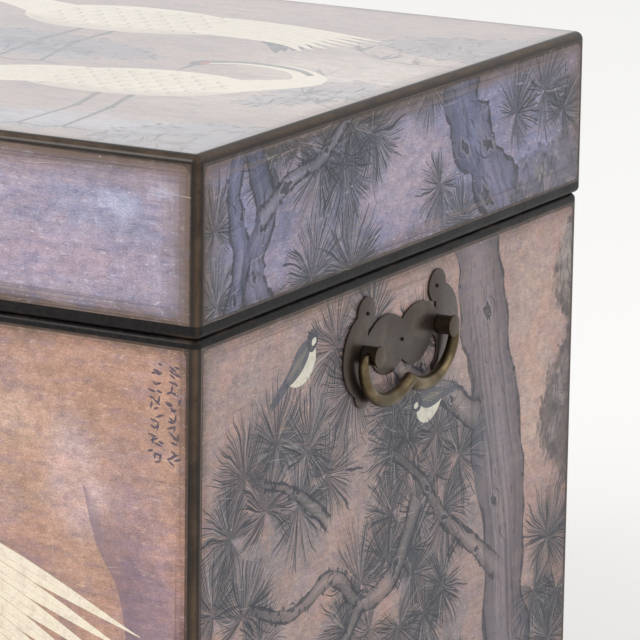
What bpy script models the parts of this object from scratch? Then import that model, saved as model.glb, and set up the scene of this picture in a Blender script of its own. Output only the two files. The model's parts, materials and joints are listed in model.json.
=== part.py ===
"""Decorative chest: a painted lacquer box with a tall lift-off lid and a brass bail handle on each end.

Metres, +Z up. The origin is on the floor under the middle of the box. The long sides face -Y (front)
and +Y (back), and the handles are on the short ends, +X (right) and -X (left).
"""

import math

import bmesh
import bpy
from mathutils import Matrix

# Box and lid
LENGTH = 0.610             # over the lid, along X
DEPTH = 0.380              # over the lid, along Y
BODY_HEIGHT = 0.338        # floor to the rim that the lid rests on
LID_HEIGHT = 0.082
BODY_WALL = 0.012
LID_WALL = 0.012
FLOOR = 0.012
LID_TOP = 0.012
LID_OVERHANG = 0.0013      # the lid's faces stand this far proud of the body's
EDGE_ROUND = 0.004         # upright corners and the lid's top edge
RIM_ROUND = 0.003          # the two lips that meet at the seam
FOOT_ROUND = 0.003         # the body's bottom edge
SEAT_GAP = 0.0003          # between pieces that rest on each other

# Lip inside the seam, which keeps the lid in place
LIP_HEIGHT = 0.010
LIP_SHELF = 0.0055         # rim left outside the lip, for the lid to rest on
LIP_CLEARANCE = 0.0008     # round the lip and above it

# Handle, measured from the bail's axis, which lies along Y
HANDLE_DROP = 0.0375       # axis below the body's rim
POST_SPACING = 0.074
PLATE_THICKNESS = 0.0010
POST_RADIUS = 0.0046
HEAD_FLARE = 0.00065       # the head stands this far out from the post's side
HEAD_THICKNESS = 0.0011
HEAD_CHAMFER = 0.0003
SHANK_RADIUS = 0.0020      # the post's tail, through the plate and into the wall
SHANK_LENGTH = 0.0080      # behind the plate
WIRE_RADIUS = 0.00325
LEG_RADIUS = 0.0026        # the wire where it turns in towards the post
PIN_RADIUS = 0.0016        # the wire's thin end, inside the post
PIN_LENGTH = 0.0070        # how far the pin goes into the post
PIN_CLEARANCE = 0.0004     # round the pin and past its tip
PIN_NECK = 0.0005          # straight stretch of wire between the post's side and the bend
BAIL_CLEARANCE = 0.00085   # wire to plate, and leg to head along the post
LEG_CLEARANCE = 0.00045    # leg to head sideways
BAIL_DROP = 0.0242         # axis to the lowest point of the wire's centre line
CUSP_RISE = 0.0053         # how far the middle of the bail rises above its lowest points
NAIL_HEAD_RADIUS = 0.0010
NAIL_HEAD_HEIGHT = 0.0005
NAIL_SHOULDER = (0.6, 0.8)  # where the head's curve turns, as shares of its radius and height
NAIL_RADIUS = 0.0005
NAIL_LENGTH = 0.0070       # behind the plate
SHANK_CLEARANCE = 0.0003   # round shanks and nails in their holes, and past their ends

# Back plate outline for the half at +Y: circles as (across, up, radius), as shares of half the post
# spacing. The outline follows each circle from where it meets the last one to where it meets the next.
TOP_LOBE = (0.432, -0.324, 0.730)
EAR_UNDERSIDE = (0.912, 0.508, 0.190)
EAR_CROWN = (0.954, 0.508, 0.232)
ARM = (0.995, -0.008, 0.549)
TIP = (1.027, -0.486, 0.203)
ARM_INSIDE = (0.743, -0.308, 0.222)
BOTTOM_LOBE = (0.351, 0.149, 0.535)
NOTCH = 0.919              # the curl's upright slot, between the top lobe and the ear
EAR_NAIL = (0.932, 0.520)
BAIL_LOBE = 0.424          # lowest point of the bail's lobe, as a share of its leg's distance across

# Fineness
ARC_STEP = math.radians(15)
EDGE_SEGMENTS = 4
TURNED_SIDES = 24
HOLE_SIDES = 12
WIRE_RESOLUTION = 4
CUT_MARGIN = 0.002         # how far a cutter runs past the face that it opens
MERGE_DISTANCE = 0.00001   # joins the turned pieces' points on their axis

# Places worked out from the sizes above; handle places are seen from outside: out of the face,
# across it and up
BODY_LENGTH = LENGTH - 2 * LID_OVERHANG
BODY_DEPTH = DEPTH - 2 * LID_OVERHANG
LID_BASE = BODY_HEIGHT + SEAT_GAP
LIP_END = BODY_HEIGHT + LIP_HEIGHT
AXIS_UP = BODY_HEIGHT - HANDLE_DROP
HALF_SPACING = POST_SPACING / 2
PLATE_FRONT = SEAT_GAP + PLATE_THICKNESS
AXIS_OUT = PLATE_FRONT + BAIL_CLEARANCE + WIRE_RADIUS
POST_FOOT = PLATE_FRONT + SEAT_GAP
HEAD_RADIUS = POST_RADIUS + HEAD_FLARE
HEAD_UNDERSIDE = AXIS_OUT + LEG_RADIUS + BAIL_CLEARANCE
POST_END = HEAD_UNDERSIDE + HEAD_THICKNESS
SHANK_END = SEAT_GAP - SHANK_LENGTH
NAIL_END = SEAT_GAP - NAIL_LENGTH
POST_SIDE = HALF_SPACING + POST_RADIUS
LEG_ACROSS = HALF_SPACING + HEAD_RADIUS + LEG_CLEARANCE + LEG_RADIUS
BEND_RADIUS = LEG_ACROSS - POST_SIDE - PIN_NECK
SHANK_HOLE = SHANK_RADIUS + SHANK_CLEARANCE
NAIL_HOLE = NAIL_RADIUS + SHANK_CLEARANCE
POSTS = {"front": -HALF_SPACING, "back": HALF_SPACING}
NAILS = {
    "front": (-EAR_NAIL[0] * HALF_SPACING, EAR_NAIL[1] * HALF_SPACING),
    "centre": (0.0, 0.0),
    "back": (EAR_NAIL[0] * HALF_SPACING, EAR_NAIL[1] * HALF_SPACING),
}
ENDS = {"right": 1, "left": -1}


def clear_scene():
    for item in list(bpy.data.objects):
        bpy.data.objects.remove(item, do_unlink=True)


def new_collection(name):
    collection = bpy.data.collections.new(name)
    bpy.context.scene.collection.children.link(collection)
    return collection


def make_material(name, colour, roughness, metallic=0.0):
    finish = bpy.data.materials.new(name)
    finish.use_nodes = True
    shader = finish.node_tree.nodes["Principled BSDF"]
    shader.inputs["Base Color"].default_value = (*colour, 1.0)
    shader.inputs["Roughness"].default_value = roughness
    shader.inputs["Metallic"].default_value = metallic
    finish.diffuse_color = (*colour, 1.0)
    return finish


def add_object(name, data, collection, finish=None, parent=None):
    item = bpy.data.objects.new(name, data)
    collection.objects.link(item)
    item.parent = parent
    if finish:
        data.materials.append(finish)
    return item


def add_cutter(name, data, collection, parent=None):
    item = add_object(name, data, collection, parent=parent)
    item.hide_render = True
    item.display_type = "WIRE"
    return item


def add_boolean(item, other, operation="DIFFERENCE"):
    cut = item.modifiers.new(other.name, "BOOLEAN")
    cut.operation = operation
    cut.object = other
    cut.solver = "EXACT"


def smooth(mesh):
    mesh.shade_smooth()
    mesh.set_sharp_from_angle(angle=math.radians(40))


def mesh_from(shape, name):
    mesh = bpy.data.meshes.new(name)
    shape.to_mesh(mesh)
    shape.free()
    return mesh


def box_mesh(name, length, depth, bottom, top, rounding=None):
    """A centred box; rounding(edge) says how far the Bevel is to round each edge."""
    shape = bmesh.new()
    bmesh.ops.create_cube(shape, size=1.0)
    bmesh.ops.scale(shape, vec=(length, depth, top - bottom), verts=shape.verts)
    bmesh.ops.translate(shape, vec=(0, 0, (bottom + top) / 2), verts=shape.verts)
    if rounding:
        weights = shape.edges.layers.float.new("bevel_weight_edge")
        widest = max(rounding(edge) for edge in shape.edges)
        for edge in shape.edges:
            edge[weights] = rounding(edge) / widest
    return mesh_from(shape, name)


def round_edges(item, widest):
    bevel = item.modifiers.new("rounded_edges", "BEVEL")
    bevel.limit_method = "WEIGHT"
    bevel.width = widest
    bevel.segments = EDGE_SEGMENTS


def edge_rounding(middle, upper, lower):
    """Upright edges get EDGE_ROUND, those above the middle height upper, and the others lower."""
    def rounding(edge):
        start, end = [vert.co.z for vert in edge.verts]
        if abs(start - end) > EDGE_ROUND:
            return EDGE_ROUND
        return upper if start > middle else lower
    return rounding


def add_cylinder(shape, radius, length, turn, centre):
    made = bmesh.ops.create_cone(shape, cap_ends=True, segments=HOLE_SIDES,
                                 radius1=radius, radius2=radius, depth=length)
    bmesh.ops.rotate(shape, verts=made["verts"], cent=(0, 0, 0), matrix=turn)
    bmesh.ops.translate(shape, verts=made["verts"], vec=centre)


def handle_holes(collection):
    """The small blind holes in both ends of the body, for the posts' shanks and the nails."""
    shape = bmesh.new()
    holes = [(across, 0.0, SHANK_HOLE, SHANK_END) for across in POSTS.values()]
    holes += [(across, up, NAIL_HOLE, NAIL_END) for across, up in NAILS.values()]
    sideways = Matrix.Rotation(math.pi / 2, 3, "Y")
    for side in ENDS.values():
        for across, up, radius, shank_end in holes:
            inner = BODY_LENGTH / 2 + shank_end - SHANK_CLEARANCE
            outer = BODY_LENGTH / 2 + CUT_MARGIN
            centre = (side * (inner + outer) / 2, across, AXIS_UP + up)
            add_cylinder(shape, radius, outer - inner, sideways, centre)
    return add_cutter("handle_holes", mesh_from(shape, "handle_holes"), collection)


def make_body(parts, cutters, finish):
    rounding = edge_rounding(BODY_HEIGHT / 2, RIM_ROUND, FOOT_ROUND)
    mesh = box_mesh("chest_body", BODY_LENGTH, BODY_DEPTH, 0, BODY_HEIGHT, rounding)
    body = add_object("chest_body", mesh, parts, finish)
    round_edges(body, max(EDGE_ROUND, RIM_ROUND, FOOT_ROUND))
    lip = add_cutter("lip", box_mesh("lip", BODY_LENGTH - 2 * LIP_SHELF, BODY_DEPTH - 2 * LIP_SHELF,
                                     BODY_HEIGHT / 2, LIP_END), cutters)
    inside = add_cutter("body_inside", box_mesh("body_inside", BODY_LENGTH - 2 * BODY_WALL,
                                                BODY_DEPTH - 2 * BODY_WALL, FLOOR,
                                                LIP_END + CUT_MARGIN), cutters)
    add_boolean(body, lip, "UNION")
    add_boolean(body, inside)
    add_boolean(body, handle_holes(cutters))
    smooth(mesh)


def make_lid(parts, cutters, finish):
    top = LID_BASE + LID_HEIGHT
    rounding = edge_rounding((LID_BASE + top) / 2, EDGE_ROUND, RIM_ROUND)
    mesh = box_mesh("lid", LENGTH, DEPTH, LID_BASE, top, rounding)
    lid = add_object("lid", mesh, parts, finish)
    round_edges(lid, max(EDGE_ROUND, RIM_ROUND))
    inside = add_cutter("lid_inside", box_mesh("lid_inside", LENGTH - 2 * LID_WALL, DEPTH - 2 * LID_WALL,
                                               LID_BASE - CUT_MARGIN, top - LID_TOP), cutters)
    lip_room = LIP_CLEARANCE - LIP_SHELF
    rebate = add_cutter("lid_rebate", box_mesh("lid_rebate", BODY_LENGTH + 2 * lip_room,
                                               BODY_DEPTH + 2 * lip_room, LID_BASE - 2 * CUT_MARGIN,
                                               LIP_END + LIP_CLEARANCE), cutters)
    add_boolean(lid, inside)
    add_boolean(lid, rebate)
    smooth(mesh)


def arc(centre, radii, start, end):
    """Points along a circle or an upright ellipse, from one angle to the other, both included."""
    steps = max(2, math.ceil(abs(end - start) / ARC_STEP))
    angles = [start + (end - start) * i / steps for i in range(steps + 1)]
    return [(centre[0] + radii[0] * math.cos(a), centre[1] + radii[1] * math.sin(a)) for a in angles]


def crossing(first, second, hand):
    """Where two circles meet: of the two points, the one left (1) or right (-1) of the way across."""
    across, up = second[0] - first[0], second[1] - first[1]
    apart = math.hypot(across, up)
    along = (first[2] ** 2 - second[2] ** 2 + apart ** 2) / (2 * apart)
    aside = hand * math.sqrt(max(first[2] ** 2 - along ** 2, 0.0))
    return (first[0] + (along * across - aside * up) / apart,
            first[1] + (along * up + aside * across) / apart)


def on_upright(circle, across, above):
    """Where a circle meets an upright line, above (1) or below (-1) its centre."""
    return (across, circle[1] + above * math.sqrt(circle[2] ** 2 - (across - circle[0]) ** 2))


def follow(circle, start, end, turn):
    """Points of the circle from start to end, clockwise (-1) or anticlockwise (1)."""
    angles = [math.atan2(y - circle[1], x - circle[0]) for x, y in (start, end)]
    sweep = (turn * (angles[1] - angles[0])) % (2 * math.pi)
    return arc(circle, (circle[2], circle[2]), angles[0], angles[0] + turn * sweep)


def plate_outline():
    cusp_above = on_upright(TOP_LOBE, 0.0, 1)
    notch_low = on_upright(TOP_LOBE, NOTCH, 1)
    notch_high = on_upright(EAR_UNDERSIDE, NOTCH, -1)
    ear_side = (EAR_CROWN[0] - EAR_CROWN[2], EAR_CROWN[1])
    waist = crossing(EAR_CROWN, ARM, 1)
    heel = crossing(ARM, TIP, 1)
    toe = crossing(TIP, ARM_INSIDE, 1)
    crook = crossing(ARM_INSIDE, BOTTOM_LOBE, -1)
    cusp_below = on_upright(BOTTOM_LOBE, 0.0, -1)
    half = follow(TOP_LOBE, cusp_above, notch_low, -1)
    half += follow(EAR_UNDERSIDE, notch_high, ear_side, -1)
    half += follow(EAR_CROWN, ear_side, waist, -1)[1:]
    half += follow(ARM, waist, heel, -1)[1:]
    half += follow(TIP, heel, toe, -1)[1:]
    half += follow(ARM_INSIDE, toe, crook, 1)[1:]
    half += follow(BOTTOM_LOBE, crook, cusp_below, -1)[1:]
    other_half = [(-x, y) for x, y in reversed(half[1:-1])]
    return [(x * HALF_SPACING, y * HALF_SPACING) for x, y in half + other_half]


def circle_points(across, up, radius):
    turns = [2 * math.pi * i / HOLE_SIDES for i in range(HOLE_SIDES)]
    return [(across + radius * math.cos(t), up + radius * math.sin(t)) for t in turns]


def add_loop(curve, points):
    spline = curve.splines.new("POLY")
    spline.points.add(len(points) - 1)
    for point, (x, y) in zip(spline.points, points):
        point.co = (x, y, 0, 1)
    spline.use_cyclic_u = True


def make_plate(name, parts, finish, mount):
    curve = bpy.data.curves.new(name, "CURVE")
    curve.dimensions = "2D"
    curve.fill_mode = "BOTH"
    curve.extrude = PLATE_THICKNESS / 2
    add_loop(curve, plate_outline())
    for across in POSTS.values():
        add_loop(curve, circle_points(across, 0.0, SHANK_HOLE))
    for across, up in NAILS.values():
        add_loop(curve, circle_points(across, up, NAIL_HOLE))
    plate = add_object(name, curve, parts, finish, mount)
    plate.location = (SEAT_GAP + PLATE_THICKNESS / 2, 0, 0)
    plate.rotation_euler = (math.pi / 2, 0, math.pi / 2)


def turned(name, profile, sides, parts, finish, mount):
    """A piece turned about its own Z; profile is (radius, height) from the top of its axis down."""
    mesh = bpy.data.meshes.new(name)
    edges = [(i, i + 1) for i in range(len(profile) - 1)]
    mesh.from_pydata([(radius, 0, height) for radius, height in profile], edges, [])
    item = add_object(name, mesh, parts, finish, mount)
    spin = item.modifiers.new("turned", "SCREW")
    spin.steps = sides
    spin.render_steps = sides
    spin.use_merge_vertices = True
    spin.merge_threshold = MERGE_DISTANCE
    spin.use_smooth_shade = True
    item.rotation_euler = (0, math.pi / 2, 0)
    return item


def make_post(name, side, across, parts, cutters, finish, mount):
    profile = [
        (0, POST_END),
        (HEAD_RADIUS - HEAD_CHAMFER, POST_END),
        (HEAD_RADIUS, POST_END - HEAD_CHAMFER),
        (HEAD_RADIUS, HEAD_UNDERSIDE),
        (POST_RADIUS, HEAD_UNDERSIDE),
        (POST_RADIUS, POST_FOOT),
        (SHANK_RADIUS, POST_FOOT),
        (SHANK_RADIUS, SHANK_END),
        (0, SHANK_END),
    ]
    post = turned(name, profile, TURNED_SIDES, parts, finish, mount)
    post.location = (0, side * across, 0)
    outward = math.copysign(1, side * across)
    inner = POST_SIDE - PIN_LENGTH - PIN_CLEARANCE
    outer = POST_SIDE + CUT_MARGIN
    shape = bmesh.new()
    add_cylinder(shape, PIN_RADIUS + PIN_CLEARANCE, outer - inner, Matrix.Rotation(math.pi / 2, 3, "X"),
                 (AXIS_OUT, outward * (inner + outer) / 2, 0))
    eye = add_cutter(name + "_eye", mesh_from(shape, name + "_eye"), cutters, mount)
    add_boolean(post, eye)


def make_nail(name, side, across, up, parts, finish, mount):
    head_base = PLATE_FRONT + SEAT_GAP
    profile = [
        (0, head_base + NAIL_HEAD_HEIGHT),
        (NAIL_HEAD_RADIUS * NAIL_SHOULDER[0], head_base + NAIL_HEAD_HEIGHT * NAIL_SHOULDER[1]),
        (NAIL_HEAD_RADIUS, head_base),
        (NAIL_RADIUS, head_base),
        (NAIL_RADIUS, NAIL_END),
        (0, NAIL_END),
    ]
    nail = turned(name, profile, HOLE_SIDES, parts, finish, mount)
    nail.location = (0, side * across, up)


def bail_half():
    """Centre line and radius of the wire from the pin's tip to the middle cusp, at +Y."""
    bend_across = LEG_ACROSS - BEND_RADIUS
    lobe_across = BAIL_LOBE * LEG_ACROSS
    quarter = math.pi / 2
    bend = arc((bend_across, -BEND_RADIUS), (BEND_RADIUS, BEND_RADIUS), quarter, 0.0)
    lobe = arc((lobe_across, -BEND_RADIUS), (LEG_ACROSS - lobe_across, BAIL_DROP - BEND_RADIUS),
               0.0, -quarter)[1:]
    rise_radius = (lobe_across ** 2 + CUSP_RISE ** 2) / (2 * CUSP_RISE)
    rise_angle = math.asin(lobe_across / rise_radius)
    rise = arc((lobe_across, rise_radius - BAIL_DROP), (rise_radius, rise_radius),
               -quarter, -quarter - rise_angle)[1:]
    line = [(POST_SIDE - PIN_LENGTH, 0.0, PIN_RADIUS)]
    line += [(y, z, PIN_RADIUS + (LEG_RADIUS - PIN_RADIUS) * i / (len(bend) - 1))
             for i, (y, z) in enumerate(bend)]
    line += [(y, z, LEG_RADIUS + (WIRE_RADIUS - LEG_RADIUS) * (i + 1) / len(lobe))
             for i, (y, z) in enumerate(lobe)]
    line += [(y, z, WIRE_RADIUS) for y, z in rise]
    return line


def make_bail(name, parts, finish, mount):
    half = bail_half()
    line = half + [(-y, z, radius) for y, z, radius in reversed(half[:-1])]
    curve = bpy.data.curves.new(name, "CURVE")
    curve.dimensions = "3D"
    curve.bevel_depth = WIRE_RADIUS
    curve.bevel_resolution = WIRE_RESOLUTION
    curve.use_fill_caps = True
    spline = curve.splines.new("POLY")
    spline.points.add(len(line) - 1)
    for point, (y, z, radius) in zip(spline.points, line):
        point.co = (0, y, z, 1)
        point.radius = radius / WIRE_RADIUS
    bail = add_object(name, curve, parts, finish, mount)
    bail.location = (AXIS_OUT, 0, 0)


def make_handle(end, side, parts, cutters, plate_finish, wire_finish, nail_finish):
    mount = add_object(end + "_handle", None, parts)
    mount.location = (side * BODY_LENGTH / 2, 0, AXIS_UP)
    mount.rotation_euler = (0, 0, 0 if side > 0 else math.pi)
    make_plate(end + "_handle_plate", parts, plate_finish, mount)
    for where, across in POSTS.items():
        make_post(f"{end}_{where}_post", side, across, parts, cutters, plate_finish, mount)
    for where, (across, up) in NAILS.items():
        make_nail(f"{end}_{where}_nail", side, across, up, parts, nail_finish, mount)
    make_bail(end + "_bail", parts, wire_finish, mount)


def main():
    clear_scene()
    parts = new_collection("Decorative chest")
    cutters = new_collection("Cutters")
    body_finish = make_material("painted_body", (0.29, 0.22, 0.20), 0.45)
    lid_finish = make_material("painted_lid", (0.24, 0.22, 0.27), 0.35)
    plate_finish = make_material("brown_brass", (0.11, 0.09, 0.075), 0.45, 1.0)
    wire_finish = make_material("olive_brass", (0.21, 0.17, 0.09), 0.35, 1.0)
    nail_finish = make_material("dark_steel", (0.03, 0.028, 0.026), 0.5, 1.0)
    make_body(parts, cutters, body_finish)
    make_lid(parts, cutters, lid_finish)
    for end, side in ENDS.items():
        make_handle(end, side, parts, cutters, plate_finish, wire_finish, nail_finish)


main()
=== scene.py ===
# %% [markdown]
# # A painted lacquer chest
#
# The chest is a wooden box with a tall lift-off lid. Every face carries a painting of pines and cranes
# under clear lacquer, the lips at the seam are black, and each end has a brass bail handle. The packed
# CAD model gives the sizes, so this script starts by loading it and reads every place from it.

# %% The frame
import json
import math
import random

import bmesh
import bpy
import numpy as np
from mathutils import Matrix, Vector, noise
from mathutils.geometry import delaunay_2d_cdt

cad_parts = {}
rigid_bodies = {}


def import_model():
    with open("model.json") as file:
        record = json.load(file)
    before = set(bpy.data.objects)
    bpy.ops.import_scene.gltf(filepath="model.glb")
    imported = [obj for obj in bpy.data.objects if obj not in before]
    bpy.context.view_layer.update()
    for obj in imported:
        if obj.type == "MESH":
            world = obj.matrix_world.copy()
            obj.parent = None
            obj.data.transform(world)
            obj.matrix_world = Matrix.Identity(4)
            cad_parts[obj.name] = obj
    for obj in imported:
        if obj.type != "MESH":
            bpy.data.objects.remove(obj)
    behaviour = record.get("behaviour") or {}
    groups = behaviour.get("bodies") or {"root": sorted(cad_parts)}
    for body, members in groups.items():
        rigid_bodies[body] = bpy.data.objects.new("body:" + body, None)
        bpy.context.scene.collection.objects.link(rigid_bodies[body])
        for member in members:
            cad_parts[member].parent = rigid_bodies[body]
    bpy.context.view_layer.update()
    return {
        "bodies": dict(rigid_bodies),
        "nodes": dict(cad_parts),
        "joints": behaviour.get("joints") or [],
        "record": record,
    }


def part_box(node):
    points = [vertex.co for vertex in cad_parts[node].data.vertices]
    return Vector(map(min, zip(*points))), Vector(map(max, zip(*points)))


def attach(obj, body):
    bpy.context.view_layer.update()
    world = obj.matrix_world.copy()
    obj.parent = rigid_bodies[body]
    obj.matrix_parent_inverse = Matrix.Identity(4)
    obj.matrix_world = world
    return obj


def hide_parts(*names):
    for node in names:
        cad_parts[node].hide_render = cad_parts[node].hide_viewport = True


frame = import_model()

print("CAD nodes:", ", ".join(sorted(frame["nodes"])))

# %% [markdown]
# ## The sizes behind the shapes
#
# A designer keeps the driving sizes in one place. The outer corners come from the CAD nodes. The walls,
# the rounded edges and the lip that holds the lid are the same values as in the part's own source, in
# metres.

# %% Sizes
MM = 0.001
WALL = 12 * MM
EDGE_ROUND = 4 * MM          # upright corners and the lid's top edge
RIM_ROUND = 3 * MM           # the two lips at the seam, and the body's foot
LIP_HEIGHT = 10 * MM
LIP_SHELF = 5.5 * MM
LIP_CLEARANCE = 0.8 * MM
LID_BAND = 6.1 * MM          # black lacquer above the seam
BODY_BAND = 4.2 * MM         # black lacquer below the seam
PANEL_DEPTH = 1 * MM         # thickness of the painted sheets set into the wood
body_low, body_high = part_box("chest_body")
lid_low, lid_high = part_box("lid")
rim = body_high.z - LIP_HEIGHT
print(f"box {2 * body_high.x:.4f} x {2 * body_high.y:.4f} m")
print(f"rim at {rim:.4f} m, lid top at {lid_high.z:.4f} m")

# %% [markdown]
# ## The camera
#
# The photograph looks down a little on one upper corner through a long lens. Its place was found by
# matching the edges of the lid and the box. A camera looks along its own -Z, so it is turned about the
# upright axis, tipped up from straight down, and then rolled a little.

# %% Camera
CAMERA_PLACE = (1.3011, -1.8828, 0.8159)
CAMERA_TURN = math.radians(28.929)
CAMERA_DIP = math.radians(13.384)
CAMERA_ROLL = math.radians(0.816)
CAMERA_LENS = 261.38         # millimetres, on a sensor 36 mm wide

lens = bpy.data.cameras.new("camera")
lens.sensor_width = 36
lens.lens = CAMERA_LENS
lens.clip_end = 60
camera = bpy.data.objects.new("camera", lens)
camera.matrix_world = (Matrix.Translation(CAMERA_PLACE)
                       @ Matrix.Rotation(CAMERA_TURN, 4, "Z")
                       @ Matrix.Rotation(math.pi / 2 - CAMERA_DIP, 4, "X")
                       @ Matrix.Rotation(CAMERA_ROLL, 4, "Z"))
bpy.context.scene.collection.objects.link(camera)
bpy.context.scene.camera = camera
bpy.context.scene.view_settings.view_transform = "Standard"
print("camera stands", round(Vector(CAMERA_PLACE).length, 2), "m from the chest's foot")

# %% [markdown]
# ## Nodes without repetition
#
# A material is a graph of nodes. Writing every link by hand hides the idea behind it, so a few small
# helpers add a node, set its sockets and join it up in one line each.

# %% Node helpers
def set_sockets(tree, node, values):
    """Links each named or numbered input to another node's output, or sets it to a plain value."""
    for name, value in values.items():
        socket = node.inputs[name]
        if isinstance(value, bpy.types.NodeSocket):
            tree.links.new(value, socket)
        elif socket.type == "RGBA" and len(value) == 3:
            socket.default_value = (*value, 1.0)
        else:
            socket.default_value = value


def add_node(tree, kind, inputs=None, **settings):
    node = tree.nodes.new("ShaderNode" + kind)
    for name, value in settings.items():
        setattr(node, name, value)
    set_sockets(tree, node, inputs or {})
    return node


def math_node(tree, operation, first, second=0.0):
    return add_node(tree, "Math", {0: first, 1: second}, operation=operation).outputs[0]


def times(tree, first, second):
    return math_node(tree, "MULTIPLY", first, second)


def vector_node(tree, operation, *values):
    return add_node(tree, "VectorMath", dict(enumerate(values)), operation=operation).outputs[0]


def blend(tree, factor, first, second, mode="MIX"):
    """Mixes two colours; sockets 6 and 7 are the node's colour inputs."""
    node = add_node(tree, "Mix", {0: factor, 6: first, 7: second}, data_type="RGBA", blend_type=mode)
    return node.outputs[2]


def levels(tree, value, low, high, out_low=0.0, out_high=1.0):
    node = add_node(tree, "MapRange", {0: value, 1: low, 2: high, 3: out_low, 4: out_high})
    return node.outputs[0]


def tinted(tree, colour, *rows, mask=None):
    """Lays tints over a colour. Rows of: field, where it starts, where it is full, strength, tint."""
    for field, start, full, strength, tint in rows:
        cover = levels(tree, field, start, full, 0.0, strength)
        if mask is not None:
            cover = times(tree, mask, cover)
        colour = blend(tree, cover, colour, tint)
    return colour


def plain_noise(tree, where, scale, detail, roughness=0.5, output=0):
    return add_node(tree, "TexNoise", {"Vector": where, "Scale": scale, "Detail": detail,
                                       "Roughness": roughness}).outputs[output]


def grain(tree, where, stretch, scale, detail, roughness):
    """Noise whose lumps are drawn out by a stretch along each axis."""
    moved = add_node(tree, "Mapping", {0: where, 3: stretch}).outputs[0]
    return plain_noise(tree, moved, scale, detail, roughness)


def rgb(red, green, blue):
    """A colour picked on a 0 to 255 scale, as linear light."""
    parts = [v / 255 for v in (red, green, blue)]
    return tuple(p / 12.92 if p <= 0.04045 else ((p + 0.055) / 1.055) ** 2.4 for p in parts)


def new_material(name):
    """Returns a new material, its tree, its shader and the place of every point on the piece."""
    material = bpy.data.materials.new(name)
    material.use_nodes = True
    tree = material.node_tree
    return material, tree, tree.nodes["Principled BSDF"], add_node(tree, "TexCoord").outputs["Object"]


def roughen(tree, shader, strength, distance, height):
    """Small bumps in the surface, from a field of heights."""
    bump = add_node(tree, "Bump", {"Strength": strength, "Distance": distance, "Height": height})
    set_sockets(tree, shader, {"Normal": bump.outputs[0]})


# %% [markdown]
# ## Floor and light
#
# The object stands on a plain pale floor in a bright room. A wide world light fills every side, a large
# soft lamp gives the brass its highlights and the shadows their direction, and a second, weaker one keeps
# the other side from going flat.

# %% Floor and light
FLOOR_SIZE = 14.0
FLOOR_TINT = rgb(243, 242, 240)
ROOM_TINT = (0.99, 0.992, 1.0)
ROOM_STRENGTH = 0.94


def new_object(name, shape):
    """Turns a bmesh into an object of the scene."""
    mesh = bpy.data.meshes.new(name)
    shape.to_mesh(mesh)
    shape.free()
    item = bpy.data.objects.new(name, mesh)
    bpy.context.scene.collection.objects.link(item)
    return item


floor_shape = bmesh.new()
bmesh.ops.create_grid(floor_shape, x_segments=1, y_segments=1, size=FLOOR_SIZE)
floor = new_object("floor", floor_shape)
floor_paint, floor_tree, floor_shader, _ = new_material("pale_floor")
set_sockets(floor_tree, floor_shader, {"Base Color": FLOOR_TINT, "Roughness": 0.75})
floor.data.materials.append(floor_paint)

world = bpy.data.worlds.new("bright_room")
bpy.context.scene.world = world
world.use_nodes = True
room = world.node_tree
set_sockets(room, room.nodes["Background"], {"Color": ROOM_TINT, "Strength": ROOM_STRENGTH})


def softbox(name, place, aim, size, power, tint):
    lamp = bpy.data.lights.new(name, "AREA")
    lamp.shape = "RECTANGLE"
    lamp.size, lamp.size_y = size
    lamp.energy = power
    lamp.color = tint
    item = bpy.data.objects.new(name, lamp)
    item.location = place
    item.rotation_euler = (Vector(aim) - Vector(place)).to_track_quat("-Z", "Y").to_euler()
    bpy.context.scene.collection.objects.link(item)


softbox("key_light", (-1.5, -2.6, 2.2), (0, 0, 0.25), (1.3, 1.3), 52, (1.0, 0.96, 0.90))
softbox("fill_light", (2.6, 1.2, 2.0), (0, 0, 0.2), (1.8, 1.4), 10, (0.95, 0.97, 1.0))
print("lights and floor are in place")

# %% [markdown]
# ## Wooden shells
#
# The body and the lid are boxes with rounded edges. Each starts as a cube. The upright edges are bevelled
# first, so that the bevel round the top then runs through the corners. The rim is the ring between that
# rounded edge and the square lip, and the inside hangs from the lip as one extruded loop after another.

# %% Shell helpers
ROUND_STEPS = 8
CLOSE = 1e-6
SMALLEST_PANEL = 0.01        # square metres: any larger flat outer face carries a painting
SHARP_ANGLE = math.radians(32)


def bevel_edges(shape, chosen, amount, steps=ROUND_STEPS, clamp=False):
    bmesh.ops.bevel(shape, geom=chosen, offset=amount, segments=steps, profile=0.5,
                    affect="EDGES", offset_type="OFFSET", material=-1, clamp_overlap=clamp)


def at_height(part, height):
    return all(abs(vert.co.z - height) < CLOSE for vert in part.verts)


def loop_at(shape, height):
    return [edge for edge in shape.edges if at_height(edge, height)]


def made_verts(made):
    return [part for part in made["geom"] if isinstance(part, bmesh.types.BMVert)]


def face_outward(shape):
    bmesh.ops.recalc_face_normals(shape, faces=shape.faces)


def rounded_box(low, high, upper_round, lower_round):
    """A box with its upright edges rounded by EDGE_ROUND and its upper and lower ones by their own."""
    shape = bmesh.new()
    bmesh.ops.create_cube(shape, size=1)
    bmesh.ops.scale(shape, vec=high - low, verts=shape.verts)
    bmesh.ops.translate(shape, vec=(low + high) / 2, verts=shape.verts)
    first = [e for e in shape.edges if abs(e.verts[0].co.z - e.verts[1].co.z) > CLOSE]
    if upper_round == EDGE_ROUND:
        first += loop_at(shape, high.z)
    bevel_edges(shape, first, EDGE_ROUND)
    if upper_round != EDGE_ROUND:
        bevel_edges(shape, loop_at(shape, high.z), upper_round)
    bevel_edges(shape, loop_at(shape, low.z), lower_round)
    return shape


def square_loop(shape, half_length, half_depth, height):
    """Four edges of a rectangle, with no face in it."""
    place = Matrix.Translation((0, 0, height)) @ Matrix.Diagonal((half_length, half_depth, 1, 1))
    made = bmesh.ops.create_grid(shape, x_segments=1, y_segments=1, size=1, matrix=place)
    sheet = made["verts"][0].link_faces[0]
    edges = list(sheet.edges)
    bmesh.ops.delete(shape, geom=[sheet], context="FACES_ONLY")
    return edges


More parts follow.
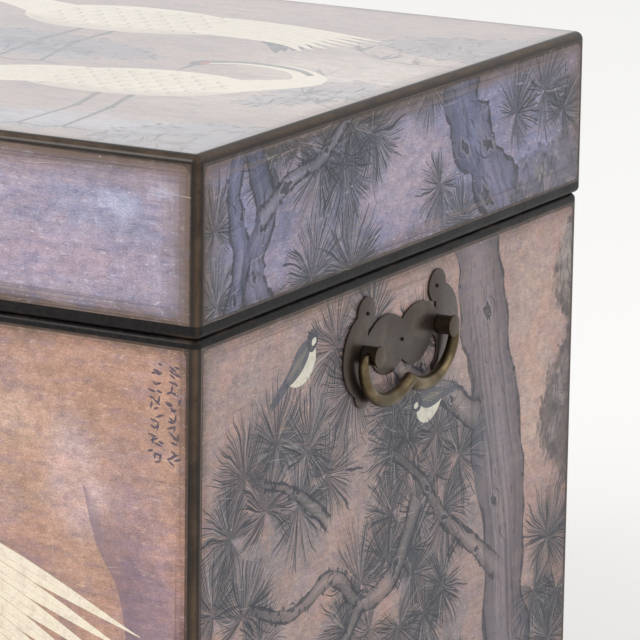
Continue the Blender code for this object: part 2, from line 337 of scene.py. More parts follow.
def pull_loop(shape, edges, half_length, half_depth, height):
    """Extrudes a loop and puts its new copy on a rectangle of the given half sizes and height."""
    made = bmesh.ops.extrude_edge_only(shape, edges=edges)
    corners = set(made_verts(made))
    for vert in corners:
        vert.co = (math.copysign(half_length, vert.co.x), math.copysign(half_depth, vert.co.y), height)
    return [part for part in made["geom"]
            if isinstance(part, bmesh.types.BMEdge) and corners.issuperset(part.verts)]


def ring_between(shape, height, square):
    """Replaces the flat face at a height by a ring from its own outline to a square loop."""
    flat = max((face for face in shape.faces if at_height(face, height)), key=lambda face: face.calc_area())
    outline = list(flat.edges)
    bmesh.ops.delete(shape, geom=[flat], context="FACES_ONLY")
    bmesh.ops.triangle_fill(shape, use_beauty=True, use_dissolve=False, edges=outline + square)


def hang_inside(shape, level, half_sizes, *loops):
    """Makes the flat face at a level a ring, and hangs the inside from its square inner edge."""
    loop = square_loop(shape, *half_sizes, level)
    ring_between(shape, level, loop)
    for sizes, height in loops:
        loop = pull_loop(shape, loop, *sizes, height)
    bmesh.ops.edgeloop_fill(shape, edges=loop)


def sink_panels(shape, level, high, top_too):
    """Cuts the shape at a level, then lowers its big flat outer faces to take the painted sheets."""
    bmesh.ops.bisect_plane(shape, geom=shape.verts[:] + shape.edges[:] + shape.faces[:], dist=CLOSE,
                           plane_co=(0, 0, level), plane_no=(0, 0, 1))
    shape.normal_update()
    chosen = []
    for face in shape.faces:
        centre = face.calc_center_median()
        outer = abs(abs(centre.x) - high.x) < CLOSE or abs(abs(centre.y) - high.y) < CLOSE
        upper = top_too and abs(centre.z - high.z) < CLOSE
        if (outer or upper) and face.calc_area() > SMALLEST_PANEL:
            chosen.append(face)
    bmesh.ops.inset_individual(shape, faces=chosen, thickness=0, depth=-PANEL_DEPTH)
    face_outward(shape)
    print("sheets let in:", len(chosen))


def finish_piece(name, shape, materials, body="root", replaced=()):
    """Closes a bmesh into a smooth-shaded piece that rides on a body."""
    piece = new_object(name, shape)
    mesh = piece.data
    mesh.shade_smooth()
    mesh.set_sharp_from_angle(angle=SHARP_ANGLE)
    for material in materials:
        mesh.materials.append(material)
    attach(piece, body)
    if replaced:
        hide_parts(*replaced)
    print(f"{name}: {len(mesh.polygons)} faces")


# %% [markdown]
# ## The body
#
# A joiner would glue boards and fit a lip inside the rim, to keep the lid in its place. Here the box is
# one closed shape: the lip stands on the rim, and the inside hangs from it down to the floor. Its big
# faces are lowered by the thickness of their painted sheets.

# %% Body shell
body_top_corner = Vector((body_high.x, body_high.y, rim))
body_shape = rounded_box(body_low, body_top_corner, RIM_ROUND, RIM_ROUND)
lip_half = (body_high.x - LIP_SHELF, body_high.y - LIP_SHELF)
inside_half = (body_high.x - WALL, body_high.y - WALL)
hang_inside(body_shape, rim, lip_half, (lip_half, body_high.z), (inside_half, body_high.z),
            (inside_half, body_low.z + WALL))
sink_panels(body_shape, rim - BODY_BAND, body_top_corner, top_too=False)

# %% [markdown]
# ## The lid
#
# The lid is made the same way, upside down. Its mouth is a little wider than the lip, so it slides on and
# off. A cut above the seam divides the black lip from the painted side.

# %% Lid shell
lid_shape = rounded_box(lid_low, lid_high, EDGE_ROUND, RIM_ROUND)
rebate_half = tuple(half + LIP_CLEARANCE for half in lip_half)
lid_inside_half = (lid_high.x - WALL, lid_high.y - WALL)
rebate_top = body_high.z + LIP_CLEARANCE
hang_inside(lid_shape, lid_low.z, rebate_half, (rebate_half, rebate_top), (lid_inside_half, rebate_top),
            (lid_inside_half, lid_high.z - WALL))
sink_panels(lid_shape, lid_low.z + LID_BAND, lid_high, top_too=True)

# %% [markdown]
# ## A painting made of real shapes
#
# A texture could be drawn as pixels, but pixels blur up close. Here each brush stroke is a flat outline
# in the sheet's own plane. A constrained triangulation cuts the sheet along every outline, and tells for
# each small triangle which strokes cover it. Their colours are laid over one another in order and stored
# on the triangle, so the finished sheet is perfectly flat, and its lines stay sharp at any distance.

# %% Picture
MERGE = 1e-7
GROUND_STEP = 6 * MM         # spacing of the points that carry the soft ground colours


def turned_left(outline):
    """The outline, anticlockwise."""
    doubled = sum(a[0] * b[1] - b[0] * a[1] for a, b in zip(outline, outline[1:] + outline[:1]))
    return outline if doubled > 0 else outline[::-1]


class Picture:
    """One painted face, in metres across and up from its lower left corner."""

    def __init__(self, width, height, seed):
        self.width, self.height = width, height
        self.random = random.Random(seed)
        self.strokes, self.washes, self.tufts = [], [], []

    def corner(self, x, y):
        return Vector((x * self.width, y * self.height))

    def anywhere(self):
        return (self.random.uniform(0, self.width), self.random.uniform(0, self.height))

    def lay(self, outlines, colour, strength):
        """Adds one brush stroke, made of one or more outlines in one colour."""
        self.strokes.append(([turned_left(o) for o in outlines], (*colour, strength)))

    def triangles(self):
        """Cuts the sheet along all outlines; returns places, triangles and each triangle's ink."""
        points = [self.corner(x, y) for x, y in ((0, 0), (1, 0), (1, 1), (0, 1))]
        outlines, owners = [[0, 1, 2, 3]], [0]
        for number, (shapes, _) in enumerate(self.strokes, start=1):
            for shape in shapes:
                outlines.append(list(range(len(points), len(points) + len(shape))))
                points.extend(Vector(p) for p in shape)
                owners.append(number)
        across, up = (max(2, round(size / GROUND_STEP)) for size in (self.width, self.height))
        for i in range(1, across):
            for j in range(1, up):
                shift = self.random.uniform(-0.3, 0.3)
                points.append(Vector(((i + shift) * self.width / across, (j - shift) * self.height / up)))
        places, _, faces, _, _, covers = delaunay_2d_cdt(points, [], outlines, 1, MERGE)
        corners = np.array([(p[0], p[1]) for p in points])
        boxes = [(*corners[o].min(axis=0), *corners[o].max(axis=0)) for o in outlines]

        def inside(face, box):
            x, y = sum((places[i] for i in face), Vector((0, 0))) / 3
            return box[0] <= x <= box[2] and box[1] <= y <= box[3]
        kept = [number for number, cover in enumerate(covers) if 0 in cover]
        inks = [self.ink({owners[c] for c in covers[n] if inside(faces[n], boxes[c])}) for n in kept]
        return places, [faces[number] for number in kept], inks

    def ink(self, cover):
        """Lays the covering strokes over one another and returns one colour with its strength."""
        colour, strength = np.zeros(3), 0.0
        for number in sorted(cover - {0}):
            *tint, over = self.strokes[number - 1][1]
            total = over + strength * (1 - over)
            colour = (np.array(tint) * over + colour * strength * (1 - over)) / max(total, CLOSE)
            strength = total
        return (*colour, strength)


# %% [markdown]
# ## Soft ground colours
#
# Under the line work lie broad washes that run into one another. They need no outline: each is an
# ellipse whose edge a noise field pushes in and out, and its colour is worked out at the sheet's points
# and blended between them.

# %% Ground
WASH_RIM = 1.25              # where a wash ends, in shares of its radii
WASH_FADE = 0.8              # how much of that it takes to fade
RAGGED_SIZE = 30 * MM        # lobes that a wash's edge is pushed into
RAGGED_SHARE = 0.35
TONE_SIZE = 40 * MM          # slow swings between lighter and darker ground
TONE_SHARE = 0.12


class Wash:
    """A soft area of colour: its place, its two radii, its turn in degrees and its strength."""

    def __init__(self, place, radii, turn, colour, strength):
        self.place, self.radii, self.turn = place, radii, math.radians(turn)
        self.colour, self.strength = np.array(colour), strength

    def cover(self, points, ragged):
        offset = points - np.array(self.place)
        cos, sin = math.cos(self.turn), math.sin(self.turn)
        along = (offset[:, 0] * cos + offset[:, 1] * sin) / self.radii[0]
        across = (offset[:, 1] * cos - offset[:, 0] * sin) / self.radii[1]
        reach = np.hypot(along, across) + ragged
        return self.strength * np.clip((WASH_RIM - reach) / WASH_FADE, 0, 1) ** 1.5


def noise_field(points, size, seed):
    return np.array([noise.fractal((x / size, y / size, seed), 1.0, 2.0, 3) for x, y in points])


def ground_colours(picture, points, base, edge, edge_width, seed):
    """Colours of the ground at each point: a base, washes, and an aged edge all round."""
    ragged = RAGGED_SHARE * noise_field(points, RAGGED_SIZE, seed)
    colour = np.tile(np.array(base), (len(points), 1))
    tone = 1 + TONE_SHARE * noise_field(points, TONE_SIZE, seed + 7.3)[:, None]
    for wash in picture.washes:
        colour += wash.cover(points, ragged)[:, None] * (wash.colour - colour)
    sides = [points[:, 0], picture.width - points[:, 0], points[:, 1], picture.height - points[:, 1]]
    rim_gap = np.minimum.reduce(sides)
    aged = np.clip(1 - (rim_gap + 0.4 * edge_width * ragged) / edge_width, 0, 1) ** 1.3
    colour += aged[:, None] * (np.array(edge) - colour)
    return colour * tone


# %% [markdown]
# ## Where a point lies in its tuft
#
# Pine foliage has more needles than strokes can carry. The fine ones are drawn by the material, which
# has to know where each point lies within a tuft. So every corner of the sheet stores its distance along
# and across the nearest tuft, in shares of the tuft's reach, and the same for the second nearest.

# %% Tuft attributes
NO_TUFT = ((9.0, 9.0), 0.04, 0.0)        # far off every sheet
TUFT_STEP = 7.31             # keeps the noise of one tuft apart from the next


def fan_places(picture, places, faces):
    corners = np.array([[tuple(places[i]) for i in face] for face in faces])
    tufts = picture.tufts + [NO_TUFT, NO_TUFT]
    roots, reaches = np.array([tuple(t[0]) for t in tufts]), np.array([t[1] for t in tufts])
    turns = np.radians([t[2] for t in tufts])
    away = np.linalg.norm(corners.mean(axis=1)[:, None] - roots[None], axis=2) / reaches
    layers = []
    for chosen in np.argsort(away, axis=1)[:, :2].T:
        offset = (corners - roots[chosen][:, None]) / reaches[chosen][:, None, None]
        cos, sin = np.cos(turns[chosen])[:, None], np.sin(turns[chosen])[:, None]
        along = offset[..., 0] * cos + offset[..., 1] * sin
        across = offset[..., 1] * cos - offset[..., 0] * sin
        number = np.repeat(TUFT_STEP * chosen[:, None], 3, axis=1)
        layers.append(np.stack([along, across, number], axis=2))
    return layers


# %% [markdown]
# ## Building a sheet
#
# The triangles become one mesh with its colours stored on it. The outline is pulled back by the sheet's
# thickness and closed, and a matrix turns the finished sheet onto its face.

# %% Sheets
def store(mesh, name, kind, domain, values):
    layer = mesh.attributes.new(name, kind, domain)
    key = "vector" if kind == "FLOAT_VECTOR" else "color"
    layer.data.foreach_set(key, np.ascontiguousarray(values, dtype=np.float32).ravel())


def paint_sheet(name, picture, place, look, material):
    """Builds one painted sheet; look holds the ground's base, edge colour, edge width and seed."""
    places, faces, inks = picture.triangles()
    mesh = bpy.data.meshes.new(name)
    mesh.from_pydata([(x, y, 0) for x, y in places], [], faces)
    points = np.array([tuple(p) for p in places])
    tones = ground_colours(picture, points, *look)
    store(mesh, "ground", "FLOAT_COLOR", "POINT", np.column_stack([tones, np.ones(len(tones))]))
    store(mesh, "ink", "FLOAT_COLOR", "CORNER", np.repeat(np.array(inks), 3, axis=0))
    for layer, values in zip(("tuft_near", "tuft_next"), fan_places(picture, places, faces)):
        store(mesh, layer, "FLOAT_VECTOR", "CORNER", values)
    shape = bmesh.new()
    shape.from_mesh(mesh)
    bpy.data.meshes.remove(mesh)
    stray = [v for v in shape.verts if not v.link_faces]
    bmesh.ops.delete(shape, geom=stray, context="VERTS")
    outline = [e for e in shape.edges if e.is_boundary]
    back = set(made_verts(bmesh.ops.extrude_edge_only(shape, edges=outline)))
    bmesh.ops.translate(shape, vec=(0, 0, -PANEL_DEPTH), verts=list(back))
    bmesh.ops.edgeloop_fill(shape, edges=[e for e in shape.edges if back.issuperset(e.verts)])
    shape.transform(place)
    finish_piece(name, shape, [material])


# %% [markdown]
# ## Brush strokes
#
# A painter's line swells and thins. A few chosen points are joined by a smooth curve, and the ribbon
# along it takes its width from a function, so one helper draws pine needles, bark, legs and plumes.

# %% Stroke helpers
THINNEST = 0.05 * MM
FINE = 0.2 * MM              # what a stroke thins to at its ends


def mm(*numbers):
    """Places on a sheet from millimetres, given as across and up in turn."""
    return [Vector(pair) * MM for pair in zip(numbers[::2], numbers[1::2])]


def flowing(points, steps=8):
    """A smooth line that passes through every point."""
    points = [Vector(p) for p in points]
    ends = [2 * points[0] - points[1], *points, 2 * points[-1] - points[-2]]
    line = []
    for a, b, c, d in zip(ends, ends[1:], ends[2:], ends[3:]):
        for t in (i / steps for i in range(steps)):
            bend = 2 * a - 5 * b + 4 * c - d + t * (3 * b - a - 3 * c + d)
            line.append(b + 0.5 * t * (c - a + t * bend))
    return line + [points[-1]]


def closed(points, steps=6):
    """A smooth closed outline through the points."""
    line = flowing([points[-1], *points, points[0], points[1]], steps)
    return line[steps:-steps - 1]


def left_of(way):
    return Vector((-way.y, way.x))


def beside(line, gap):
    """The line moved sideways; gap is a function of the share of the way along."""
    moved = []
    for i, place in enumerate(line):
        ahead = line[min(i + 1, len(line) - 1)] - line[max(i - 1, 0)]
        moved.append(place + left_of(ahead).normalized() * gap(i / (len(line) - 1)))
    return moved


def band(left, right):
    """Four-sided outlines that fill the strip between two lines of equal length."""
    return [[right[i], right[i + 1], left[i + 1], left[i]] for i in range(len(left) - 1)]


def ribbon(line, width):
    """A strip along a line, as wide as width says at each share of the way along."""
    return band(beside(line, lambda t: max(width(t), THINNEST) / 2),
                beside(line, lambda t: -max(width(t), THINNEST) / 2))


def heading_vector(degrees):
    return Vector((math.cos(math.radians(degrees)), math.sin(math.radians(degrees))))


def heading_of(way):
    return math.degrees(math.atan2(way.y, way.x))


def tapered(thick, thin):
    return lambda t: thick + (thin - thick) * t


def swelling(thick, thin=FINE):
    """Thin at both ends and thick in between."""
    return lambda t: thin + (thick - thin) * math.sin(math.pi * min(1.0, t * 1.02)) ** 0.8


def oval(place, radii, turn=0.0, sides=14, ragged=0.0):
    """An ellipse; ragged pushes its points in and out by that share of their distance."""
    cos, sin = math.cos(turn), math.sin(turn)
    ring = []
    for i in range(sides):
        angle = 2 * math.pi * i / sides
        swell = 1 + ragged * noise.noise((place[0] * 700 + 1.5 * math.cos(angle), 1.5 * math.sin(angle), 2.2))
        x, y = radii[0] * math.cos(angle) * swell, radii[1] * math.sin(angle) * swell
        ring.append(Vector((place[0] + x * cos - y * sin, place[1] + x * sin + y * cos)))
    return ring


def shaded(picture, line, reach, colour, strength, steps=5, ends=0.0):
    """A sharp edge that fades to one side, in thin glazes; ends is the share that tapers off."""
    for k in range(steps):
        far = beside(line, lambda t: reach * (k + 1) / steps
                     * min(1.0, (t + 0.01) / (ends + CLOSE), (1.01 - t) / (ends + CLOSE)))
        picture.lay(band(far, line), colour, strength * 1.4 / steps)


def placed(place, size, turn=0.0, flip=False):
    """Returns a function that puts a figure's own points (in shares of its size) on the sheet."""
    cos, sin = math.cos(math.radians(turn)), math.sin(math.radians(turn))
    side = -1 if flip else 1

    def put(points):
        return [Vector((place[0] + size * (side * (x * cos - y * sin)),
                        place[1] + size * (x * sin + y * cos))) for x, y in points]
    return put


# %% [markdown]
# ## Pine needles
#
# Pine foliage in this style is a tuft: fine dark needles that fan out from a twig. The material draws the
# mass of them. The strokes here are the bolder needles on top, with a few pale ones between, and a soft
# grey wash lies under the whole tuft.

# %% Pine tufts
NEEDLE_DARK = rgb(34, 40, 50)
NEEDLE_MID = rgb(66, 72, 82)
NEEDLE_PALE = rgb(184, 176, 170)
NEEDLE_WIDTH = 0.62 * MM
TUFT_WASH = rgb(92, 95, 102)
FAN_ANGLE = 280              # degrees from the first needle of a tuft to its last


def pine_tuft(picture, place, reach, facing, count=28):
    """A fan of needles around a twig's tip, as long as reach, opening towards facing degrees."""
    root, pick = Vector(place), picture.random
    picture.tufts.append((root, reach, facing))
    middle = root + heading_vector(facing) * reach * 0.30
    picture.washes.append(Wash(middle, (reach * 0.66, reach * 0.56), facing, TUFT_WASH, 0.36))
    for i in range(count):
        share = (i + pick.uniform(-0.5, 0.5)) / (count - 1) - 0.5
        way = heading_vector(facing + FAN_ANGLE * share)
        length = reach * pick.uniform(0.72, 1.06) * (1 - 0.38 * abs(2 * share) ** 2)
        foot, tip = root + way * length * pick.uniform(0.08, 0.45), root + way * length
        bow = left_of(way) * length * pick.uniform(-0.05, 0.05)
        thick = NEEDLE_WIDTH * pick.uniform(0.75, 1.3)
        tint = NEEDLE_PALE if i % 9 == 8 else NEEDLE_DARK if pick.random() < 0.7 else NEEDLE_MID
        picture.lay(ribbon([foot, (foot + tip) / 2 + bow, tip], tapered(thick, thick * 0.35)), tint,
                    pick.uniform(0.3, 0.5) if i % 9 == 8 else pick.uniform(0.7, 0.95))


# %% [markdown]
# ## Trunks and branches
#
# A branch is a pale wash held between two broken dark lines that swell and thin, darker along its
# underside, with ragged hollows where old boughs broke off and streaks of ink that run along the bark.

# %% Branches
BARK_LINE = rgb(42, 46, 56)
BARK_WASH = rgb(136, 126, 124)
PALE_BARK = rgb(158, 150, 154)
LINE_WIDTH = 1.7 * MM


def nudge(pick, reach):
    """A small chance step to any side, up to reach in millimetres."""
    return Vector((pick.uniform(-1, 1), pick.uniform(-1, 1))) * reach * MM


def branch(picture, points, thick, thin, wash=BARK_WASH, wash_strength=0.5, dots=0.6):
    """One branch along a few points, thick at its foot and thin at its tip; returns its middle line."""
    pick = picture.random
    seed = pick.uniform(0, 100)
    middle = flowing(points, 10)
    half = tapered(thick / 2, thin / 2)
    bold = LINE_WIDTH * (0.7 + thick / (70 * MM))

    def wobble(t, side):
        return half(t) * (1 + 0.42 * noise.fractal((t * 7 * len(points) / 4, side * 5, seed), 1.0, 2.0, 2))
    left, right = beside(middle, lambda t: wobble(t, 1)), beside(middle, lambda t: -wobble(t, 2))
    picture.lay(band(left, right), wash, wash_strength)
    shaded(picture, left, -0.34 * thick, BARK_LINE, 0.48, 3)
    shaded(picture, right, 0.28 * thick, BARK_LINE, 0.36, 3)
    for number, side in enumerate((left, right)):
        def thickness(t):
            swell = 1.0 + 2.0 * noise.noise((t * 5 * len(points), number * 7, seed + 3))
            return bold * min(2.6, max(0.12, swell)) * (0.5 + 0.5 * half(t) / half(0))
        picture.lay(ribbon(side, thickness), BARK_LINE, 0.92)
        for place in side[1:-1]:
            if pick.random() < dots:
                spot = place + nudge(pick, 1.3)
                size = pick.uniform(0.6, 2.0) * MM
                picture.lay([oval(spot, (size, size * 0.7), pick.uniform(0, 3), 9, 0.9)], BARK_LINE, 0.85)
    return middle


def hollow(picture, place, size, turn):
    """A ragged dark hole in the bark with one heavy lip."""
    angle = math.radians(turn)
    picture.lay([oval(place, (size * 1.25, size * 0.72), angle, 16, 1.1)], rgb(150, 144, 150), 0.30)
    picture.lay([oval(place, (size, size * 0.46), angle, 16, 1.3)], BARK_LINE, 0.92)
    lip = [Vector(place) + heading_vector(turn + a) * size * 1.25 for a in (20, 60, 105, 150)]
    picture.lay(ribbon(flowing(lip, 4), swelling(1.1 * MM)), BARK_LINE, 0.8)


def bark(picture, middle, thick, count, strength=0.30):
    """Long wavering streaks along a trunk, dark and pale, with short cracks that hook across it."""
    pick = picture.random
    for k in range(count):
        share, seed = pick.uniform(-0.44, 0.44), pick.uniform(0, 50)
        start = pick.randrange(0, len(middle) * 2 // 3)
        part = middle[start:start + pick.randrange(len(middle) // 5, len(middle) // 2)]
        streak = beside(part, lambda t: thick * (share + 0.08 * noise.noise((t * 5, seed, 0.3))))
        if k % 3 == 2:
            picture.lay(ribbon(streak, swelling(pick.uniform(0.8, 2.6) * MM)), PALE_BARK, strength * 0.7)
        else:
            picture.lay(ribbon(streak, swelling(pick.uniform(0.8, 3.6) * MM)), BARK_LINE,
                        strength * pick.uniform(0.5, 1.4))
    for _ in range(2 * count):
        i = pick.randrange(1, len(middle) - 2)
        ahead = (middle[i + 1] - middle[i - 1]).normalized()
        side = left_of(ahead) * pick.choice((-1, 1))
        foot = middle[i] + side * thick * pick.uniform(-0.4, 0.4)
        length = pick.uniform(3, 9) * MM
        crack = [foot, foot + ahead * length * 0.6 + side * length * pick.uniform(-0.1, 0.2),
                 foot + ahead * length + side * length * pick.uniform(0.15, 0.5)]
        picture.lay(ribbon(flowing(crack, 3), swelling(pick.uniform(0.6, 1.5) * MM)), BARK_LINE,
                    pick.uniform(0.3, 0.75))


def old_trunk(picture, points, thick, thin, streaks, hollows, wash=rgb(92, 95, 110)):
    """A thick trunk: a branch, its bark, and hollows given as a share along, a share across and a size."""
    middle = branch(picture, points, thick, thin, wash, 0.62, dots=0.35)
    bark(picture, middle, 0.9 * (thick + thin) / 2, streaks)
    for share, off, size in hollows:
        i = int(share * (len(middle) - 2))
        ahead = middle[i + 1] - middle[i]
        spot = middle[i] + left_of(ahead).normalized() * off * thick
        hollow(picture, spot, size * MM, heading_of(ahead) + 12)


# %% [markdown]
# ## Growing a bough
#
# The painter builds a pine bough in the order it grows: the main stem, twigs to either side, and a tuft
# of needles on every tip. The helper follows the same order, so a bough needs only a foot, a heading and
# a length, all in millimetres and degrees.

# %% Boughs
def pine_bough(picture, x, y, heading, length, thick, reach, twigs, side=1):
    """A stem with side twigs, each ending in a tuft as wide as reach."""
    pick = picture.random
    length, thick, reach = length * MM, thick * MM, reach * MM
    points, angle = mm(x, y), heading
    for _ in range(4):
        angle += pick.uniform(-24, 24)
        points.append(points[-1] + heading_vector(angle) * length / 4)
    middle = flowing(points, 10)
    for k in range(twigs):
        i = int((len(middle) - 1) * (0.28 + 0.62 * (k + 0.5) / twigs))
        side = -side
        way = heading + side * pick.uniform(32, 66)
        tip = middle[i] + heading_vector(way) * reach * pick.uniform(0.55, 0.95)
        bend = (middle[i] + tip) / 2 + heading_vector(way + 90) * reach * pick.uniform(-0.15, 0.15)
        pine_tuft(picture, tip, reach * pick.uniform(0.82, 1.1), way)
        branch(picture, [middle[i], bend, tip], thick * 0.42, thick * 0.16, dots=0.2)
    pine_tuft(picture, points[-1], reach, angle)
    branch(picture, points, thick, thick * 0.34)
    for share in (0.22, 0.5, 0.72):
        spot = middle[int(share * (len(middle) - 1))]
        hollow(picture, spot, thick * pick.uniform(0.18, 0.30), heading + pick.uniform(-25, 25))


def grass(picture, x, y, count, height):
    """Low blades that spread from one foot, in millimetres."""
    pick, foot = picture.random, mm(x, y)[0]
    for _ in range(count):
        tip = foot + heading_vector(90 + pick.gauss(0, 30)) * height * MM * pick.uniform(0.45, 1.0)
        middle = (foot + tip) / 2 + Vector((0, 1)) * height * MM * 0.08
        picture.lay(ribbon([foot, middle, tip], tapered(0.7 * MM, FINE)), NEEDLE_DARK,
                    pick.uniform(0.35, 0.65))


def bamboo(picture, numbers, leaf=20 * MM):
    """A thin jointed stem with sprays of narrow leaves at its joints."""
    pick = picture.random
    line = flowing(mm(*numbers), 6)
    picture.lay(ribbon(line, tapered(1.6 * MM, 0.7 * MM)), NEEDLE_MID, 0.6)
    for i in range(4, len(line), 4):
        facing = heading_of(line[i] - line[i - 1]) + pick.choice((-50, 50))
        for _ in range(pick.randint(3, 5)):
            way = facing + pick.uniform(-46, 46)
            tip = line[i] + heading_vector(way) * leaf * pick.uniform(0.6, 1.15)
            bow = heading_vector(way + 90) * leaf * pick.uniform(-0.1, 0.1)
            blade = flowing([line[i], (line[i] + tip) / 2 + bow, tip], 4)
            picture.lay(ribbon(blade, swelling(leaf * 0.15)), NEEDLE_MID, 0.6 * pick.uniform(0.6, 1.2))


# %% [markdown]
# ## Birds
#
# The figures are drawn once, in shares of their own size, and a placing function turns and scales them
# on the sheet. Cream plumes with thin warm edges, slate wings and one warm crown are enough to read as a
# crane, and a slate back over a white belly makes a small perching bird.

# %% Birds
CREAM = rgb(228, 219, 200)
PLUME_EDGE = rgb(156, 146, 124)
SLATE = rgb(66, 72, 84)
LEG = rgb(88, 88, 92)
CROWN = rgb(166, 92, 80)
BELLY = rgb(214, 210, 194)
PLUMES = 8                   # in each of a crane's two rows, dark tail and pale wing


def small_bird(picture, x, y, size, turn, flip=False):
    put = placed(mm(x, y)[0], size * MM, turn, flip)

    def patch(points, tint, strength=0.95):
        picture.lay([closed(put(points), 4)], tint, strength)
    picture.lay([put([(-0.42, 0.10), (-1.0, -0.06), (-0.96, -0.17), (-0.34, -0.08)])], SLATE, 0.85)
    patch([(-0.48, 0.02), (-0.30, -0.20), (0.02, -0.27), (0.28, -0.14), (0.34, 0.08), (0.20, 0.24),
           (-0.10, 0.22)], BELLY)
    patch([(-0.62, -0.02), (-0.36, -0.10), (-0.02, -0.06), (0.20, 0.08), (0.18, 0.26), (-0.08, 0.26),
           (-0.34, 0.14)], SLATE)
    patch([(0.16, 0.12), (0.26, 0.02), (0.42, 0.08), (0.46, 0.22), (0.34, 0.33), (0.20, 0.28)],
          rgb(52, 58, 70))
    patch([(0.28, 0.10), (0.38, 0.10), (0.40, 0.17), (0.30, 0.18)], BELLY)
    picture.lay([put([(0.45, 0.17), (0.58, 0.19), (0.45, 0.23)])], LEG, 0.9)
    for k in range(5):
        quill = put([(-0.52 + 0.09 * k, -0.01), (-0.30 + 0.09 * k, 0.06 + 0.012 * k),
                     (-0.10 + 0.07 * k, 0.16)])
        picture.lay(ribbon(quill, swelling(0.55 * MM)), PLUME_EDGE, 0.65)
    for foot in (0.0, 0.10):
        picture.lay(ribbon(put([(foot, -0.22), (foot + 0.02, -0.42)]), tapered(0.7 * MM, 0.5 * MM)), LEG, 0.8)


def plume(picture, put, points, width, colour=CREAM, edge=PLUME_EDGE):
    """One long feather: a cream blade with a thin darker rim and a fine quill."""
    line = flowing(put(points), 7)
    picture.lay(ribbon(line, swelling(width + 0.9 * MM, 0.4 * MM)), edge, 0.7)
    picture.lay(ribbon(line, swelling(width, 0.25 * MM)), colour, 0.95)
    picture.lay(ribbon(line[2:-3], tapered(0.4 * MM, FINE)), edge, 0.5)


def crane(picture, x, y, size, turn=0.0, flip=False, neck="up", reach=0.72):
    """A standing crane, sized by its body; reach is how far the pale plumes run back."""
    size *= MM
    side = -1 if flip else 1
    put = placed(mm(x, y)[0], size, turn, flip)
    ranks = [k / (PLUMES - 1) for k in range(PLUMES)]
    for hip, toe in ((0.00, -0.02), (0.12, 0.14)):
        leg = put([(hip, -0.14), (hip + 0.03, -0.42), (toe, -0.78)])
        picture.lay(ribbon(leg, tapered(0.026 * size, 0.014 * size)), LEG, 0.9)
        picture.lay([oval(leg[1], (0.018 * size, 0.018 * size), 0, 8)], LEG, 0.9)
        for spread in (-0.09, 0.03, 0.12):
            claw = put([(toe, -0.78), (toe + spread, -0.815)])
            picture.lay(ribbon(claw, tapered(0.014 * size, 0.005 * size)), LEG, 0.9)
    for share in ranks:
        tail = [(-0.20, 0.14 - 0.10 * share), (-0.52, 0.11 - 0.22 * share),
                (-0.76 + 0.12 * share, -0.08 - 0.24 * share)]
        plume(picture, put, tail, 0.062 * size, SLATE, rgb(42, 46, 56))
    trunk = [(0.44, 0.08), (0.36, 0.22), (0.12, 0.29), (-0.16, 0.24), (-0.42, 0.06), (-0.34, -0.08),
             (-0.06, -0.18), (0.24, -0.16), (0.40, -0.04)]
    picture.lay([closed(put(trunk), 6)], CREAM, 0.96)
    belly = flowing(put([(0.43, 0.0), (0.26, -0.155), (-0.06, -0.18), (-0.36, -0.07)]), 6)
    shaded(picture, belly, -0.10 * size * side, rgb(158, 146, 138), 0.42, 4, 0.2)
    for share in ranks:
        blade = [(0.16 - 0.12 * share, 0.21 - 0.25 * share), (-0.24, 0.20 - 0.26 * share),
                 (-0.62 * reach, 0.14 - 0.26 * share), (-reach + 0.20 * share, 0.02 - 0.27 * share)]
        plume(picture, put, blade, 0.058 * size)
    for row in range(6):
        for k in range(8):
            u, v = 0.37 - 0.078 * k - 0.038 * (row % 2), 0.21 - 0.062 * row
            if ((u - 0.02) / 0.40) ** 2 + ((v - 0.05) / 0.21) ** 2 < 0.9:
                scale = put([(u, v + 0.028), (u - 0.034, v + 0.012), (u - 0.034, v - 0.012), (u, v - 0.028)])
                picture.lay(ribbon(scale, swelling(0.009 * size, 0.003 * size)), PLUME_EDGE, 0.75)
    bends = {"up": [(0.36, 0.10), (0.56, 0.24), (0.56, 0.44), (0.49, 0.62), (0.56, 0.78)],
             "down": [(0.36, 0.12), (0.60, 0.24), (0.74, 0.14), (0.80, -0.06), (0.90, -0.18)],
             "back": [(0.36, 0.10), (0.56, 0.28), (0.47, 0.46), (0.26, 0.53), (0.10, 0.48)]}[neck]
    throat = flowing(put(bends), 7)
    picture.lay(ribbon(throat, lambda t: size * (0.05 + 0.17 * (1 - t) ** 2.2)), CREAM, 0.96)
    shade = beside(throat[11:], lambda t: -0.010 * size * side)
    picture.lay(ribbon(shade, tapered(0.026 * size, 0.046 * size)), SLATE, 0.85)
    head, ahead = throat[-1], (throat[-1] - throat[-3]).normalized()
    beak = (ahead + Vector((side * 0.9, -0.1))).normalized()
    lean = math.atan2(beak.y, beak.x)
    crest = left_of(beak) * side
    picture.lay([oval(head + beak * 0.012 * size, (0.050 * size, 0.034 * size), lean)], SLATE, 0.9)
    picture.lay([oval(head + crest * 0.019 * size, (0.034 * size, 0.017 * size), lean, 10)], CROWN, 0.85)
    picture.lay([[head + (beak * 0.05 + crest * 0.013) * size, head + beak * 0.20 * size,
                  head + (beak * 0.05 - crest * 0.013) * size]], LEG, 0.9)


# %% [markdown]
# ## Rocks
#
# Rocks are ink masses with no clean outline. Three ragged shapes of falling size lie over one another,
# dark blots crowd their rims, pale lichen opens inside, and broken folds run down from the crown.

# %% Rocks
ROCK_LINE = rgb(58, 60, 66)
LICHEN = rgb(164, 154, 150)


